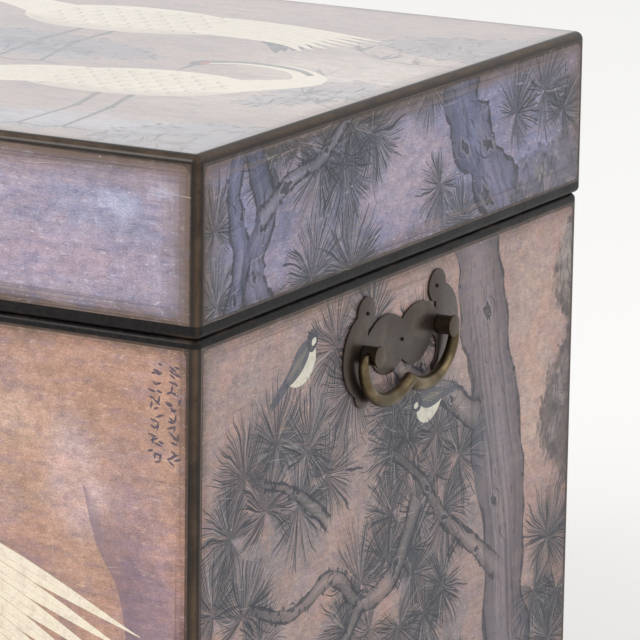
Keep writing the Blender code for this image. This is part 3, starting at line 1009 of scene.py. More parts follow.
def rock(picture, numbers, tint, strength=0.7):
    """One rock inside a rough outline, in millimetres."""
    pick, tint = picture.random, rgb(*tint)
    outline = closed(mm(*numbers), 8)
    centre = sum(outline, Vector((0, 0))) / len(outline)

    def inner_spot():
        return centre + (outline[pick.randrange(len(outline))] - centre) * pick.uniform(0.1, 0.85)
    for layer, share in enumerate((1.0, 0.93, 0.82)):
        ragged = []
        for place in outline:
            swell = 1 + 0.22 * noise.fractal((place.x * 120, place.y * 120, layer * 3.1), 1.0, 2.0, 3)
            ragged.append(centre + (place - centre) * share * swell)
        picture.lay([ragged], tint, strength * 0.5)
        for place in ragged[::2 - (layer == 0)]:
            size = pick.uniform(0.6, 2.8) * MM
            spot = place + nudge(pick, 2.4)
            picture.lay([oval(spot, (size, size * 0.7), pick.uniform(0, 3), 10, 1.2)], ROCK_LINE, 0.5)
    for _ in range(30):
        spot = inner_spot()
        size = pick.uniform(3, 9) * MM
        tone, cover = pick.choice(((ROCK_LINE, 0.22), (ROCK_LINE, 0.3), (LICHEN, 0.3)))
        picture.lay([oval(spot, (size, size * 0.5), pick.uniform(-0.6, 0.6), 14, 1.4)], tone, cover)
    for _ in range(22):
        start = inner_spot()
        lean = pick.uniform(-1, 1)
        fold = [start, start + Vector((4 * lean, -pick.uniform(3, 8))) * MM,
                start + Vector((7 * lean, -pick.uniform(9, 16))) * MM]
        picture.lay(ribbon(flowing(fold, 4), swelling(pick.uniform(0.7, 1.9) * MM)), ROCK_LINE, 0.6)


# %% [markdown]
# ## Age
#
# Old lacquer is never clean. Varnish streaks gather beside the edges, and fine scratches and specks, pale
# and dark, are laid last, from the picture's own random numbers.

# %% Age marks
VARNISH = (rgb(84, 66, 52), rgb(132, 112, 96), rgb(60, 48, 40))
STREAK_ZONE = 9 * MM         # how far from the edges the streaks of varnish reach


def scratches(picture, count, tint, longest):
    pick = picture.random
    for _ in range(count):
        start = Vector(picture.anywhere())
        length = longest * pick.uniform(0.2, 1.0) ** 1.6
        way = heading_vector(pick.gauss(0, 8) + (90 if pick.random() < 0.18 else 0))
        bow = left_of(way) * length * pick.uniform(-0.03, 0.03)
        line = [start, start + way * length / 2 + bow, start + way * length]
        picture.lay(ribbon(line, swelling(pick.uniform(0.2, 0.4) * MM, 0.1 * MM)), tint,
                    0.42 * pick.uniform(0.4, 1.0))


def specks(picture, count, tint):
    pick = picture.random
    for _ in range(count):
        place = picture.anywhere()
        size = 0.55 * MM * pick.uniform(0.3, 1.0) ** 1.5
        picture.lay([oval(place, (size, size * pick.uniform(0.35, 0.9)), pick.uniform(0, 3), 6, 0.9)], tint,
                    0.6 * pick.uniform(0.5, 1.0))


def border_streaks(picture, count):
    """Long streaks of varnish beside the edges, denser the nearer they lie to an edge."""
    pick = picture.random
    for _ in range(count):
        gap = STREAK_ZONE * pick.uniform(0, 1) ** 1.6
        upright = pick.random() < picture.height / (picture.width + picture.height)
        span, depth = (picture.height, picture.width) if upright else (picture.width, picture.height)
        start, length = pick.uniform(-0.1, 0.8) * span, pick.uniform(0.1, 0.45) * span
        far = pick.random() < 0.5
        line = []
        for along in (start + length * i / 4 for i in range(5)):
            off = gap + 0.5 * MM * noise.noise((along * 30, gap * 900, 4.1))
            off = depth - off if far else off
            line.append(Vector((off, along) if upright else (along, off)))
        picture.lay(ribbon(line, swelling(pick.uniform(0.4, 1.5) * MM)), pick.choice(VARNISH),
                    0.36 * pick.uniform(0.4, 1.0))


# %% [markdown]
# ## Frames and margins
#
# Each painting ends in a narrow border of bare dark lacquer with rounded inner corners. On the sides of
# the lid the varnish has browned in a wide margin inside it, which fades towards the middle.

# %% Frames
FRAME_BROWN = rgb(52, 41, 33)
MARGIN_BROWN = rgb(96, 78, 64)


def side_lines(picture, sides, margin):
    """The named sides as lines that run anticlockwise, moved inward and slightly wavering."""
    ends = {"bottom": ((0, 0), (1, 0)), "right": ((1, 0), (1, 1)), "top": ((1, 1), (0, 1)),
            "left": ((0, 1), (0, 0))}
    for side in sides.split():
        start, end = (picture.corner(*place) for place in ends[side])
        count = max(2, round((end - start).length / (4 * MM)))
        line = [start + (end - start) * i / count for i in range(count + 1)]
        inward = Vector((start.y - end.y, end.x - start.x)).normalized()
        inner = []
        for place in line:
            wave = 1 + 0.12 * noise.noise((place.x * 120, place.y * 120, 3.7))
            inner.append(place + inward * margin * wave)
        yield line, inner


def brown_frame(picture, margin, sides="left right top bottom", radius=4 * MM, strength=0.9):
    for line, inner in side_lines(picture, sides, margin):
        picture.lay([[line[0], line[-1], *reversed(inner)]], FRAME_BROWN, strength)
    for x, y, across, up in ((0, 0, "left", "bottom"), (1, 0, "right", "bottom"),
                             (1, 1, "right", "top"), (0, 1, "left", "top")):
        if across in sides and up in sides:
            inward = Vector((1 - 2 * x, 1 - 2 * y))
            corner = picture.corner(x, y) + inward * margin * 0.9
            centre = corner + inward * radius
            round_in = [centre - Vector((inward.x * math.cos(a), inward.y * math.sin(a))) * radius
                        for a in (math.pi / 2 * i / 6 for i in range(7))]
            picture.lay([[corner, *round_in]], FRAME_BROWN, strength)


def margins(picture, *rows):
    """Browned varnish along the edges. Rows of: sides, reach in millimetres, strength."""
    for sides, reach, strength in rows:
        depth = reach * MM
        for line, inner in side_lines(picture, sides, 0.4 * depth):
            shaded(picture, line, depth, MARGIN_BROWN, strength * 0.6)
            shaded(picture, line, (inner[0] - line[0]).length, MARGIN_BROWN, strength * 0.5, 2)


# %% [markdown]
# ## Needles drawn by the material
#
# The sheet stores where each point lies within its tuft. Turned into an angle and a distance, that place
# drives a noise that is fine across the angle and long outwards, so its dark parts are needles. A slow
# noise moves the place first, because real needles don't all spring from one point. They get fewer towards
# the rim, end at uneven lengths and stop at the sides of the fan.

# %% Needle fans
ROOT_WANDER = (0.17, 0.17, 0)
NEEDLE_BEND = 0.12
DARK_PER_RADIAN = 36
PALE_PER_RADIAN = 30


def needle_fan(tree, colour, layer):
    """Lays one layer of fine needles over a colour."""
    stored = add_node(tree, "Attribute", attribute_name=layer).outputs["Vector"]
    drift = plain_noise(tree, stored, 1.9, 0, output="Color")
    wander = vector_node(tree, "SUBTRACT", drift, (0.5, 0.5, 0.5))
    moved = vector_node(tree, "ADD", stored, vector_node(tree, "MULTIPLY", wander, ROOT_WANDER))
    number = add_node(tree, "SeparateXYZ", {0: stored}).outputs[2]
    along, across, _ = add_node(tree, "SeparateXYZ", {0: moved}).outputs[:3]
    flat = add_node(tree, "CombineXYZ", {0: along, 1: across}).outputs[0]
    away = add_node(tree, "VectorMath", {0: flat}, operation="LENGTH").outputs["Value"]
    sway = plain_noise(tree, stored, 2.4, 1)
    bend = times(tree, levels(tree, sway, 0.0, 1.0, -NEEDLE_BEND, NEEDLE_BEND), away)
    angle = math_node(tree, "ADD", math_node(tree, "ARCTAN2", across, along), bend)
    spread = times(tree, angle, angle)

    def hairs(per_radian, length, shift):
        ray = add_node(tree, "CombineXYZ", {0: times(tree, angle, per_radian),
                                            1: times(tree, away, length),
                                            2: math_node(tree, "ADD", number, shift)}).outputs[0]
        return plain_noise(tree, ray, 1, 1)
    tip = math_node(tree, "SUBTRACT", levels(tree, hairs(20, 0.2, 5), 0.28, 0.72, 0.62, 1.20),
                    times(tree, spread, 0.062))
    within = times(tree, levels(tree, math_node(tree, "SUBTRACT", tip, away), 0.0, 0.07),
                   levels(tree, spread, 8.4, 6.0))
    bar = levels(tree, away, 0.1, 1.0, 0.43, 0.57)
    above_bar = math_node(tree, "SUBTRACT", hairs(DARK_PER_RADIAN, 0.5, 0), bar)
    pale = hairs(PALE_PER_RADIAN, 0.5, 31)
    colour = blend(tree, times(tree, within, 0.20), colour, rgb(96, 98, 104))
    return tinted(tree, colour, (pale, 0.60, 0.68, 0.30, rgb(182, 174, 170)),
                  (above_bar, 0.0, 0.05, 0.92, rgb(44, 49, 58)), mask=within)


# %% [markdown]
# ## Paint under clear lacquer
#
# The painted faces share one recipe. Soft ground colours are broken up by long brush streaks, a cloudy
# mottle, a fine grain and short flecks of a light and a dark tint. Needles and ink lie over them, the ink
# thinner where the brush ran dry. A clear coat gives the even shine that turns the top pale at a low
# angle.

# %% Painted lacquer
EVENLY = (1, 1, 1)
STREAK_DARK = rgb(76, 66, 64)


def painted_lacquer(name, stretch, coat, tints, flecked):
    """Aged paint under a clear coat; stretch draws streaks, flecks and grain out along the face."""
    warm, cool, light, dark = tints
    material, tree, shader, where = new_material(name)
    ground = add_node(tree, "Attribute", attribute_name="ground").outputs["Color"]
    ink = add_node(tree, "Attribute", attribute_name="ink").outputs
    clouds = grain(tree, where, EVENLY, 34, 5, 0.6)
    patches = grain(tree, where, stretch[1], 75, 4, 0.65)
    mottle = grain(tree, where, EVENLY, 190, 4, 0.65)
    fine = grain(tree, where, stretch[2], 900, 3, 0.7)
    streaks = grain(tree, where, stretch[0], 30, 5, 0.65)
    thread = grain(tree, where, tuple(2.6 * s for s in stretch[0]), 46, 3, 0.6)
    flecks = grain(tree, where, stretch[1], 240, 4, 0.75)
    tone = levels(tree, streaks, 0.28, 0.72, 0.88, 1.12)
    for field, swing in ((mottle, 0.20), (fine, 0.32)):
        tone = times(tree, tone, levels(tree, field, 0.27, 0.73, 1 - swing, 1 + swing))
    colour = tinted(tree, ground, (clouds, 0.42, 0.60, 0.34, warm), (patches, 0.50, 0.34, 0.40, cool),
                    (patches, 0.54, 0.70, 0.34, warm))
    colour = blend(tree, 1.0, colour, tone, "MULTIPLY")
    colour = tinted(tree, colour, (flecks, 0.59, 0.68, flecked, light), (flecks, 0.41, 0.32, flecked, dark),
                    (thread, 0.60, 0.78, 0.28, light), (thread, 0.40, 0.24, 0.40, STREAK_DARK))
    for layer in ("tuft_next", "tuft_near"):
        colour = needle_fan(tree, colour, layer)
    dry = levels(tree, fine, 0.28, 0.56, 0.70, 1.0)
    worn = levels(tree, mottle, 0.30, 0.52, 0.72, 1.0)
    cover = times(tree, ink["Alpha"], times(tree, dry, worn))
    set_sockets(tree, shader, {"Base Color": blend(tree, cover, colour, ink["Color"]),
                               "Roughness": levels(tree, mottle, 0.3, 0.7, 0.42, 0.62),
                               "Specular IOR Level": 0.5 * coat,
                               "Coat Weight": coat,
                               "Coat Roughness": 0.20})
    roughen(tree, shader, 0.25, 0.2 * MM, math_node(tree, "ADD", times(tree, fine, 0.5), thread))
    return material


# Each row stretches the long streaks, the short flecks and the fine grain.
SIDE_STRETCH = ((1, 1, 7), (1, 1, 2.8), (1, 1, 1.7))
TOP_STRETCH = ((1, 8, 1), (1, 4, 1), (1, 2.2, 1))
BODY_TINTS = (rgb(182, 138, 122), rgb(134, 114, 132), rgb(228, 202, 180), rgb(100, 76, 74))
LID_TINTS = (rgb(176, 152, 158), rgb(104, 110, 142), rgb(206, 204, 218), rgb(86, 86, 114))
TOP_TINTS = (rgb(184, 156, 144), rgb(126, 128, 140), rgb(214, 200, 190), rgb(112, 100, 98))
body_paint = painted_lacquer("painted_lacquer_body", SIDE_STRETCH, 0.30, BODY_TINTS, 0.34)
lid_paint = painted_lacquer("painted_lacquer_lid", SIDE_STRETCH, 0.30, LID_TINTS, 0.46)
top_paint = painted_lacquer("painted_lacquer_top", TOP_STRETCH, 1.0, TOP_TINTS, 0.34)
print("painted lacquer is ready for the body, the lid's sides and its top")

# %% [markdown]
# ## Edge lacquer and the inside
#
# The bare edges are dark brown lacquer, rubbed to a warm bronze on the roundings, which also carry small
# painted glints of pale gold, and chipped in places.
# The two lips at the seam are black, with a painted highlight in brown patches along their roundings. Where a
# face is rounded its normal leans away from every axis, so the largest part of the normal tells the
# material how near the middle of an edge it is.

# %% Edge lacquer
LINE_BLUR = 0.3 * MM         # half the soft step between the black lips and the brown edges


def edge_lacquer():
    material, tree, shader, where = new_material("black_and_bronze_lacquer")
    height = add_node(tree, "SeparateXYZ", {0: where}).outputs[2]
    normal = add_node(tree, "NewGeometry").outputs["Normal"]
    lean = vector_node(tree, "ABSOLUTE", normal)
    sides = add_node(tree, "SeparateXYZ", {0: lean}).outputs
    flattest = math_node(tree, "MAXIMUM", math_node(tree, "MAXIMUM", sides[0], sides[1]), sides[2])
    rounded = levels(tree, flattest, 0.97, 0.78)
    patches = grain(tree, where, EVENLY, 55, 5, 0.65)
    fine = grain(tree, where, EVENLY, 420, 4, 0.6)
    brown = blend(tree, levels(tree, patches, 0.35, 0.65), rgb(26, 20, 17), rgb(46, 35, 28))
    rubbed = times(tree, rounded, levels(tree, patches, 0.40, 0.62, 0.10, 0.75))
    brown = blend(tree, rubbed, brown, rgb(86, 68, 53))
    lines = plain_noise(tree, vector_node(tree, "MULTIPLY", where, lean), 420, 2)
    # On the roundings: light and dark streak lines of wear, and pale gold specks that are painted glints.
    brown = tinted(tree, brown, (lines, 0.52, 0.66, 0.55, rgb(118, 92, 64)),
                   (lines, 0.46, 0.32, 0.6, rgb(28, 21, 17)), (fine, 0.70, 0.76, 0.8, rgb(186, 152, 104)),
                   mask=rounded)
    chipped = math_node(tree, "ADD", fine, times(tree, rounded, 0.06))
    brown = tinted(tree, brown, (chipped, 0.68, 0.72, 0.8, rgb(30, 25, 23)))
    wander = times(tree, math_node(tree, "SUBTRACT", patches, 0.5), 1.6 * MM)
    level = math_node(tree, "ADD", height, wander)
    body_line, lid_line = rim - BODY_BAND, lid_low.z + LID_BAND
    above = levels(tree, level, body_line - LINE_BLUR, body_line + LINE_BLUR)
    below = levels(tree, level, lid_line + LINE_BLUR, lid_line - LINE_BLUR)
    black = blend(tree, levels(tree, fine, 0.35, 0.7), rgb(15, 14, 15), rgb(31, 28, 28))
    # Brown patches on the rounded part of the black lips: a painted highlight along them.
    black = tinted(tree, black, (patches, 0.5, 0.66, 0.25, rgb(104, 84, 68)), mask=rounded)
    lip = times(tree, above, below)
    set_sockets(tree, shader, {"Base Color": blend(tree, lip, brown, black),
                               "Roughness": levels(tree, patches, 0.3, 0.7, 0.34, 0.52),
                               "Specular IOR Level": levels(tree, lip, 0, 1, 0.16, 0.10),
                               "Coat Weight": levels(tree, lip, 0, 1, 0.20, 0.06),
                               "Coat Roughness": 0.14})
    roughen(tree, shader, 0.3, 0.25 * MM, fine)
    return material


def inner_lacquer():
    """Plain dark lacquer brushed on the bare wood inside, with the wood's grain showing through."""
    material, tree, shader, where = new_material("inner_lacquer")
    fibres = grain(tree, where, (1, 14, 14), 22, 5, 0.6)
    pores = grain(tree, where, (1, 20, 20), 160, 3, 0.6)
    colour = blend(tree, levels(tree, fibres, 0.3, 0.7), rgb(46, 34, 28), rgb(78, 57, 45))
    colour = tinted(tree, colour, (pores, 0.60, 0.72, 0.6, rgb(30, 22, 18)))
    set_sockets(tree, shader, {"Base Color": colour,
                               "Roughness": levels(tree, fibres, 0.3, 0.7, 0.5, 0.66)})
    roughen(tree, shader, 0.35, 0.2 * MM, pores)
    return material


edge_finish = edge_lacquer()
inner_finish = inner_lacquer()
print("edge and inner lacquer are ready")

# %% [markdown]
# ## Aged metals
#
# The back plate is brass browned by age to a dull taupe. The posts and the bail have been handled, so
# they shine olive gold in rubbed patches and stay dark between them. The nails are blackened steel.

# %% Metals
def aged_metal(name, dark, bright, shine, roughness, metallic):
    """Patina over metal; shine is the share of the surface that has been rubbed bright."""
    material, tree, shader, where = new_material(name)
    clouds = grain(tree, where, EVENLY, 70, 5, 0.62)
    spots = grain(tree, where, EVENLY, 700, 3, 0.6)
    scuffs = grain(tree, where, (1, 1.4, 5), 900, 2, 0.5)
    polish = levels(tree, clouds, 0.60 - 0.3 * shine, 0.90 - 0.3 * shine)
    colour = tinted(tree, blend(tree, polish, dark, bright),
                    (spots, 0.62, 0.76, 0.45, tuple(0.45 * c for c in dark)),
                    (scuffs, 0.68, 0.80, 0.25, bright))
    rough = math_node(tree, "ADD", levels(tree, clouds, 0.35, 0.7, roughness[1], roughness[0]),
                      levels(tree, spots, 0.5, 0.7, 0.0, 0.08))
    set_sockets(tree, shader, {"Base Color": colour, "Roughness": rough, "Metallic": metallic})
    roughen(tree, shader, 0.16, 0.1 * MM, spots)
    return material


plate_finish = aged_metal("browned_brass", rgb(74, 65, 60), rgb(94, 83, 74), 0.30, (0.28, 0.38), 0.9)
post_finish = aged_metal("handled_brass", rgb(78, 68, 58), rgb(112, 98, 82), 0.45, (0.26, 0.38), 0.95)
bail_finish = aged_metal("olive_brass", rgb(88, 76, 55), rgb(130, 114, 88), 0.55, (0.28, 0.40), 1.0)
nail_finish = aged_metal("blackened_steel", rgb(38, 34, 32), rgb(84, 76, 70), 0.20, (0.40, 0.60), 0.9)
print("metals are ready")

# %% [markdown]
# ## Closing the shells
#
# Faces that lie inside the walls take the inner lacquer. Everything else on a shell is edge, foot or lip.

# %% Shell pieces
def line_inside(shape, half_length, half_depth, floor_level, ceiling):
    """Gives the inner lacquer to every face that looks into the box."""
    for face in shape.faces:
        x, y, z = face.calc_center_median()
        if (abs(x) < half_length + CLOSE and abs(y) < half_depth + CLOSE
                and floor_level - CLOSE < z < ceiling + CLOSE):
            face.material_index = 1


line_inside(body_shape, *inside_half, body_low.z + WALL, body_high.z)
line_inside(lid_shape, *lid_inside_half, lid_low.z, lid_high.z - WALL)
finish_piece("body_shell", body_shape, [edge_finish, inner_finish], replaced=["chest_body"])
finish_piece("lid_shell", lid_shape, [edge_finish, inner_finish], replaced=["lid"])

# %% [markdown]
# ## Where the sheets sit
#
# Each sheet is drawn flat, across and up, and a matrix turns it onto its face. The four sides of a box
# are alike, so one function gives the matrix for any side of the body or the lid.

# %% Placing
def side_place(high, foot, facing):
    """The matrix that takes a flat sheet to the side that faces right, front, left or back."""
    across = Vector({"right": (0, 1, 0), "front": (1, 0, 0), "left": (0, -1, 0), "back": (-1, 0, 0)}[facing])
    up = Vector((0, 0, 1))
    out = across.cross(up)
    half_width = (high.x if across.x else high.y) - EDGE_ROUND
    half_away = high.y if across.x else high.x
    place = Matrix((across, up, out)).transposed().to_4x4()
    place.translation = out * half_away - across * half_width + up * foot
    return place


ENDS = ("right", "left")
SIDES = {"body": (body_top_corner, body_low.z + RIM_ROUND, rim - BODY_BAND, body_paint),
         "lid": (lid_high, lid_low.z + LID_BAND, lid_high.z - EDGE_ROUND, lid_paint)}


def side_picture(part, facing, seed):
    high, foot, top, _ = SIDES[part]
    half_width = (high.y if facing in ENDS else high.x) - EDGE_ROUND
    return Picture(2 * half_width, top - foot, seed)


# %% [markdown]
# ## Painting by lists
#
# A picture is a list of what grows where. These helpers take rows of plain numbers in millimetres, so a
# whole face can be read at a glance: rocks, boughs, washes, single tufts, grass, the dabs that hold the
# place of the inscription, and the marks of age that end every picture.

# %% Rows
def each(draw, picture, *rows):
    """Calls one drawing helper with every row."""
    for row in rows:
        draw(picture, *row)


def hollow_at(picture, x, y, size, turn):
    hollow(picture, mm(x, y)[0], size * MM, turn)


def washes(picture, *rows):
    """Rows of: across, up, two radii, turn, colour, strength."""
    for x, y, long, short, turn, tint, strength in rows:
        picture.washes.append(Wash(mm(x, y)[0], (long * MM, short * MM), turn, rgb(*tint), strength))


def tufts(picture, *rows):
    """Rows of: across, up, facing, reach."""
    for x, y, facing, reach in rows:
        pine_tuft(picture, mm(x, y)[0], reach * MM, facing, 20)


def meadow(picture, height, *rows):
    """Rows of: across, number of blades."""
    for x, count in rows:
        grass(picture, x, 2, count, height)


def brush_rows(picture, x, y, rows, columns, step, tint):
    """Upright rows of short slanted dabs that hold the place of the inscription and spell nothing."""
    pick = picture.random
    for cell in range(rows * columns):
        foot = Vector((x - cell // rows * step * 1.15, y - cell % rows * step)) * MM
        for _ in range(5):
            start = foot + Vector((pick.uniform(-0.36, 0.36), pick.uniform(-0.36, 0.36))) * step * MM
            way = heading_vector(pick.choice((-35, -15, 20, 80))) * step * pick.uniform(0.15, 0.3) * MM
            picture.lay(ribbon([start - way, start, start + way], swelling(1.3 * MM, 0.5 * MM)), tint, 0.92)


def dabs(picture, count, tints, strength, longest=12):
    """Short dry strokes of several tints, which keep a broad area of paint from lying flat."""
    pick = picture.random
    for _ in range(count):
        middle = Vector(picture.anywhere())
        reach = heading_vector(pick.gauss(0, 6)) * longest * MM * pick.uniform(0.15, 0.5)
        picture.lay(ribbon([middle - reach, middle, middle + reach], swelling(pick.uniform(0.5, 1.5) * MM)),
                    rgb(*pick.choice(tints)), strength * pick.uniform(0.3, 1.0))


def age(picture, streaks, lines, dots):
    """Varnish streaks, then scratches and specks, the pale ones twice as many as the dark."""
    border_streaks(picture, streaks)
    scratches(picture, lines, rgb(214, 202, 190), 26 * MM)
    scratches(picture, lines // 2, rgb(62, 54, 52), 18 * MM)
    specks(picture, dots, rgb(222, 212, 200))
    specks(picture, dots // 2, rgb(50, 44, 44))


# What the frame of a long side or an end is drawn with, and the colour and width of the ground's edge.
BORDERS = {"body side": ((1.4 * MM,), rgb(84, 62, 50), 9 * MM),
           "body end": ((1.6 * MM,), rgb(78, 64, 57), 9 * MM),
           "lid side": ((0.7 * MM, "left right top", 5 * MM), rgb(88, 72, 62), 10 * MM),
           "lid end": ((1.4 * MM,), rgb(78, 68, 64), 11 * MM)}


def set_side(picture, part, facing, marks, base, seed):
    """Frames and ages a picture, then makes its sheet; base is the colour of its ground."""
    high, foot, _, material = SIDES[part]
    frame, edge, edge_width = BORDERS[part + (" end" if facing in ENDS else " side")]
    brown_frame(picture, *frame)
    age(picture, *marks)
    paint_sheet(f"{part}_{facing}_painting", picture, side_place(high, foot, facing),
                (rgb(*base), edge, edge_width, seed), material)


PINK, PEACH, TAN = (158, 138, 132), (182, 158, 146), (178, 152, 136)
MIST, MOSS, DUSK = (119, 118, 124), (96, 90, 88), (132, 116, 113)
ROSE, WARM_ROCK, COOL_ROCK = (170, 148, 142), (112, 102, 102), (106, 102, 118)
VIOLET, BLUE, LILAC = (127, 125, 152), (104, 111, 142), (158, 150, 168)
BROWN_GREY, DEEP_BLUE = (98, 88, 86), rgb(92, 100, 130)
END_MARGINS = (("top", 11, 0.6), ("right left", 13, 0.5))
WARM_DABS = ((206, 172, 150), (142, 112, 100), (182, 138, 116), (160, 130, 140))
COOL_DABS = ((186, 184, 208), (100, 102, 142), (186, 156, 166), (132, 126, 160))

# %% [markdown]
# ## The right end of the body
#
# A weathered trunk in blue-grey wash stands at the far side, boughs reach out of it under the handle,
# and rocks close the picture at the edge. The ground is a dusty pink that turns to peach behind the trunk.

# %% Body, right end
picture = side_picture("body", "right", 11)
washes(picture, (62, 250, 74, 66, 8, MIST, 0.6), (222, 214, 84, 66, -14, MIST, 0.62),
       (170, 304, 70, 22, 0, ROSE, 0.5), (330, 262, 26, 78, -6, PEACH, 0.75),
       (356, 150, 30, 54, 0, MOSS, 0.7), (120, 120, 130, 50, 4, DUSK, 0.6),
       (200, 50, 170, 40, -3, DUSK, 0.5), (250, 140, 70, 60, 0, MIST, 0.5), (340, 60, 50, 70, 0, DUSK, 0.6))
dabs(picture, 260, WARM_DABS, 0.30)
old_trunk(picture, mm(262, 335, 276, 272, 296, 196, 306, 120, 322, 52, 330, -6), 46 * MM, 34 * MM, 44,
          ((0.16, 0.1, 6), (0.42, -0.2, 5), (0.66, 0.12, 7)))
each(rock, picture,
     ((376, 266, 354, 254, 336, 228, 346, 204, 376, 188), (70, 68, 70), 0.8),
     ((376, 324, 362, 316, 350, 298, 358, 278, 376, 270), (88, 78, 72)),
     ((376, 100, 350, 86, 334, 54, 340, 16, 376, 0), (84, 78, 78)),
     ((-8, 44, 40, 50, 92, 32, 136, 2, -8, -8), (106, 98, 96), 0.6))
tufts(picture, (40, 262, 110, 34), (68, 272, 80, 32), (96, 262, 50, 34), (28, 238, 150, 32),
      (60, 244, 95, 36), (88, 238, 330, 32), (114, 246, 20, 32), (12, 206, 120, 32), (38, 198, 70, 34),
      (10, 174, 200, 30), (32, 166, 250, 32), (54, 182, 30, 28), (196, 232, 120, 34),
      (224, 242, 70, 32), (248, 226, 20, 34),
      (206, 208, 200, 32), (234, 204, 300, 34), (180, 214, 160, 30), (150, 186, 110, 34), (176, 192, 70, 34),
      (202, 178, 20, 32), (160, 160, 220, 34), (188, 154, 290, 34), (136, 166, 160, 30), (214, 156, 320, 30),
      (348, 160, 70, 34), (334, 136, 300, 32), (360, 130, 250, 28), (352, 106, 90, 32), (66, 122, 200, 36),
      (98, 110, 320, 34), (28, 118, 120, 34), (228, 126, 250, 32), (252, 102, 300, 32), (122, 128, 40, 32))
each(pine_bough, picture, (268, 242, 172, 160, 14, 32, 4), (292, 158, 166, 140, 12, 32, 4, -1),
     (308, 92, 176, 120, 10, 30, 3))
branch(picture, mm(118, 224, 84, 246, 56, 256), 7 * MM, 3 * MM)
branch(picture, mm(206, 214, 184, 184, 150, 176, 122, 196, 82, 188, 44, 200), 12 * MM, 5 * MM)
branch(picture, mm(150, 176, 128, 158, 96, 150), 8 * MM, 3 * MM)
each(hollow_at, picture, (184, 186, 4.2, 60), (151, 178, 3.6, 10), (121, 194, 3.2, 30), (84, 190, 2.6, 0))
small_bird(picture, 92, 305, 34, 20)
small_bird(picture, 214, 259, 32, -12, flip=True)
meadow(picture, 26, (150, 14), (186, 18), (228, 12), (262, 16))
set_side(picture, "body", "right", (60, 60, 180), PINK, 2.1)

# %% [markdown]
# ## The front of the body
#
# Two cranes stand in the mist on warm pink-brown lacquer. The tail plumes of the nearer one reach towards
# the right-hand corner, where a hill's edge falls down the face beside the rows of brushwork.

# %% Body, front
picture = side_picture("body", "front", 23)
washes(picture, (580, 214, 20, 70, 12, (124, 112, 134), 0.55), (540, 268, 14, 30, 8, (196, 184, 196), 0.45),
       (500, 290, 30, 16, 0, (204, 176, 158), 0.5), (430, 270, 120, 50, 5, TAN, 0.5),
       (240, 240, 120, 70, 10, (152, 134, 132), 0.5), (90, 250, 90, 54, 0, MIST, 0.5),
       (300, 80, 220, 50, 0, (188, 158, 142), 0.5), (520, 130, 70, 60, 0, (180, 146, 126), 0.5),
       (560, 306, 40, 14, 0, (160, 124, 106), 0.6), (486, 308, 44, 16, 0, (150, 124, 124), 0.5),
       (476, 236, 34, 34, 0, (176, 148, 154), 0.5),
       (586, 196, 16, 70, 0, (160, 134, 138), 0.5))
dabs(picture, 460, WARM_DABS, 0.34, 14)
near_hill = (545, 262, 552, 236, 564, 214, 570, 180, 578, 140, 592, 96, 600, 60)
far_hill = (480, 230, 510, 226, 530, 208, 536, 176, 552, 150, 560, 110)
for hill, depth, cover in ((near_hill, 30, 0.55), (far_hill, 16, 0.26)):
    shaded(picture, flowing(mm(*hill)), depth * MM, rgb(92, 82, 106), cover, 7, 0.35)
each(rock, picture, ((-8, 90, 60, 84, 120, 56, 200, 34, 230, -4, -8, -8), WARM_ROCK),
     ((606, 70, 560, 66, 520, 40, 500, -4, 606, -8), (118, 104, 100)))
each(pine_bough, picture, (-6, 262, 4, 190, 14, 40, 5), (-6, 190, -12, 110, 9, 34, 3, -1))
crane(picture, 336, 208, 214, turn=4, flip=True, neck="back", reach=1.12)
crane(picture, 122, 134, 116, flip=True, neck="down")
meadow(picture, 34, (250, 20), (300, 16), (410, 18), (452, 22), (548, 14))
brush_rows(picture, 592, 320, 6, 2, 8, rgb(62, 60, 78))
set_side(picture, "body", "front", (90, 240, 420), (164, 132, 116), 5.4)

# %% [markdown]
# ## The left end and the back of the body
#
# The sides that the photograph doesn't show are kept plainer: one or two boughs, a quiet ground and rocks
# at the foot, in the same colours.

# %% Body, left end and back
picture = side_picture("body", "left", 37)
washes(picture, (150, 240, 110, 56, 0, MIST, 0.5), (300, 180, 60, 80, 0, PEACH, 0.55),
       (160, 110, 120, 40, 0, (150, 132, 130), 0.5), (250, 60, 110, 30, 0, TAN, 0.4))
dabs(picture, 260, WARM_DABS, 0.30)
rock(picture, (376, 60, 320, 54, 270, 34, 240, -4, 376, -8), WARM_ROCK)
old_trunk(picture, mm(60, 336, 70, 262, 56, 190, 66, 110, 50, 40, 56, -6), 38 * MM, 30 * MM, 40,
          ((0.2, 0.1, 6), (0.5, -0.15, 5), (0.74, 0.2, 6)))
tufts(picture, (28, 270, 120, 36), (24, 214, 200, 36), (300, 262, 40, 36), (322, 236, 340, 36),
      (210, 250, 300, 36), (170, 292, 90, 30), (24, 90, 150, 34))
each(pine_bough, picture, (70, 236, 6, 170, 12, 40, 4), (60, 128, -8, 130, 10, 36, 3, -1))
meadow(picture, 28, (120, 16), (164, 20), (210, 14))
set_side(picture, "body", "left", (60, 60, 180), PINK, 8.9)

picture = side_picture("body", "back", 41)
washes(picture, (470, 250, 130, 56, 0, MIST, 0.5), (120, 210, 110, 60, 0, (140, 124, 124), 0.5),
       (300, 230, 110, 60, 0, TAN, 0.5), (300, 70, 220, 46, 0, (184, 156, 142), 0.5))
dabs(picture, 400, WARM_DABS, 0.34, 20)
each(rock, picture, ((-8, 74, 70, 66, 150, 40, 190, -4, -8, -8), WARM_ROCK),
     ((606, 104, 560, 96, 500, 60, 440, 30, 420, -4, 606, -8), (108, 100, 102)))
each(pine_bough, picture, (606, 250, 178, 200, 14, 40, 5, -1), (-6, 190, 10, 150, 11, 38, 4))
crane(picture, 300, 168, 170, turn=3)
meadow(picture, 32, (214, 20), (262, 16), (350, 18), (392, 22))
set_side(picture, "body", "back", (90, 110, 260), (162, 132, 119), 12.6)

# %% [markdown]
# ## The right end of the lid
#
# The lid is cooler and more violet than the body, with browner margins. Two old trunks frame a plain
# middle, with needles massed between them along the top.

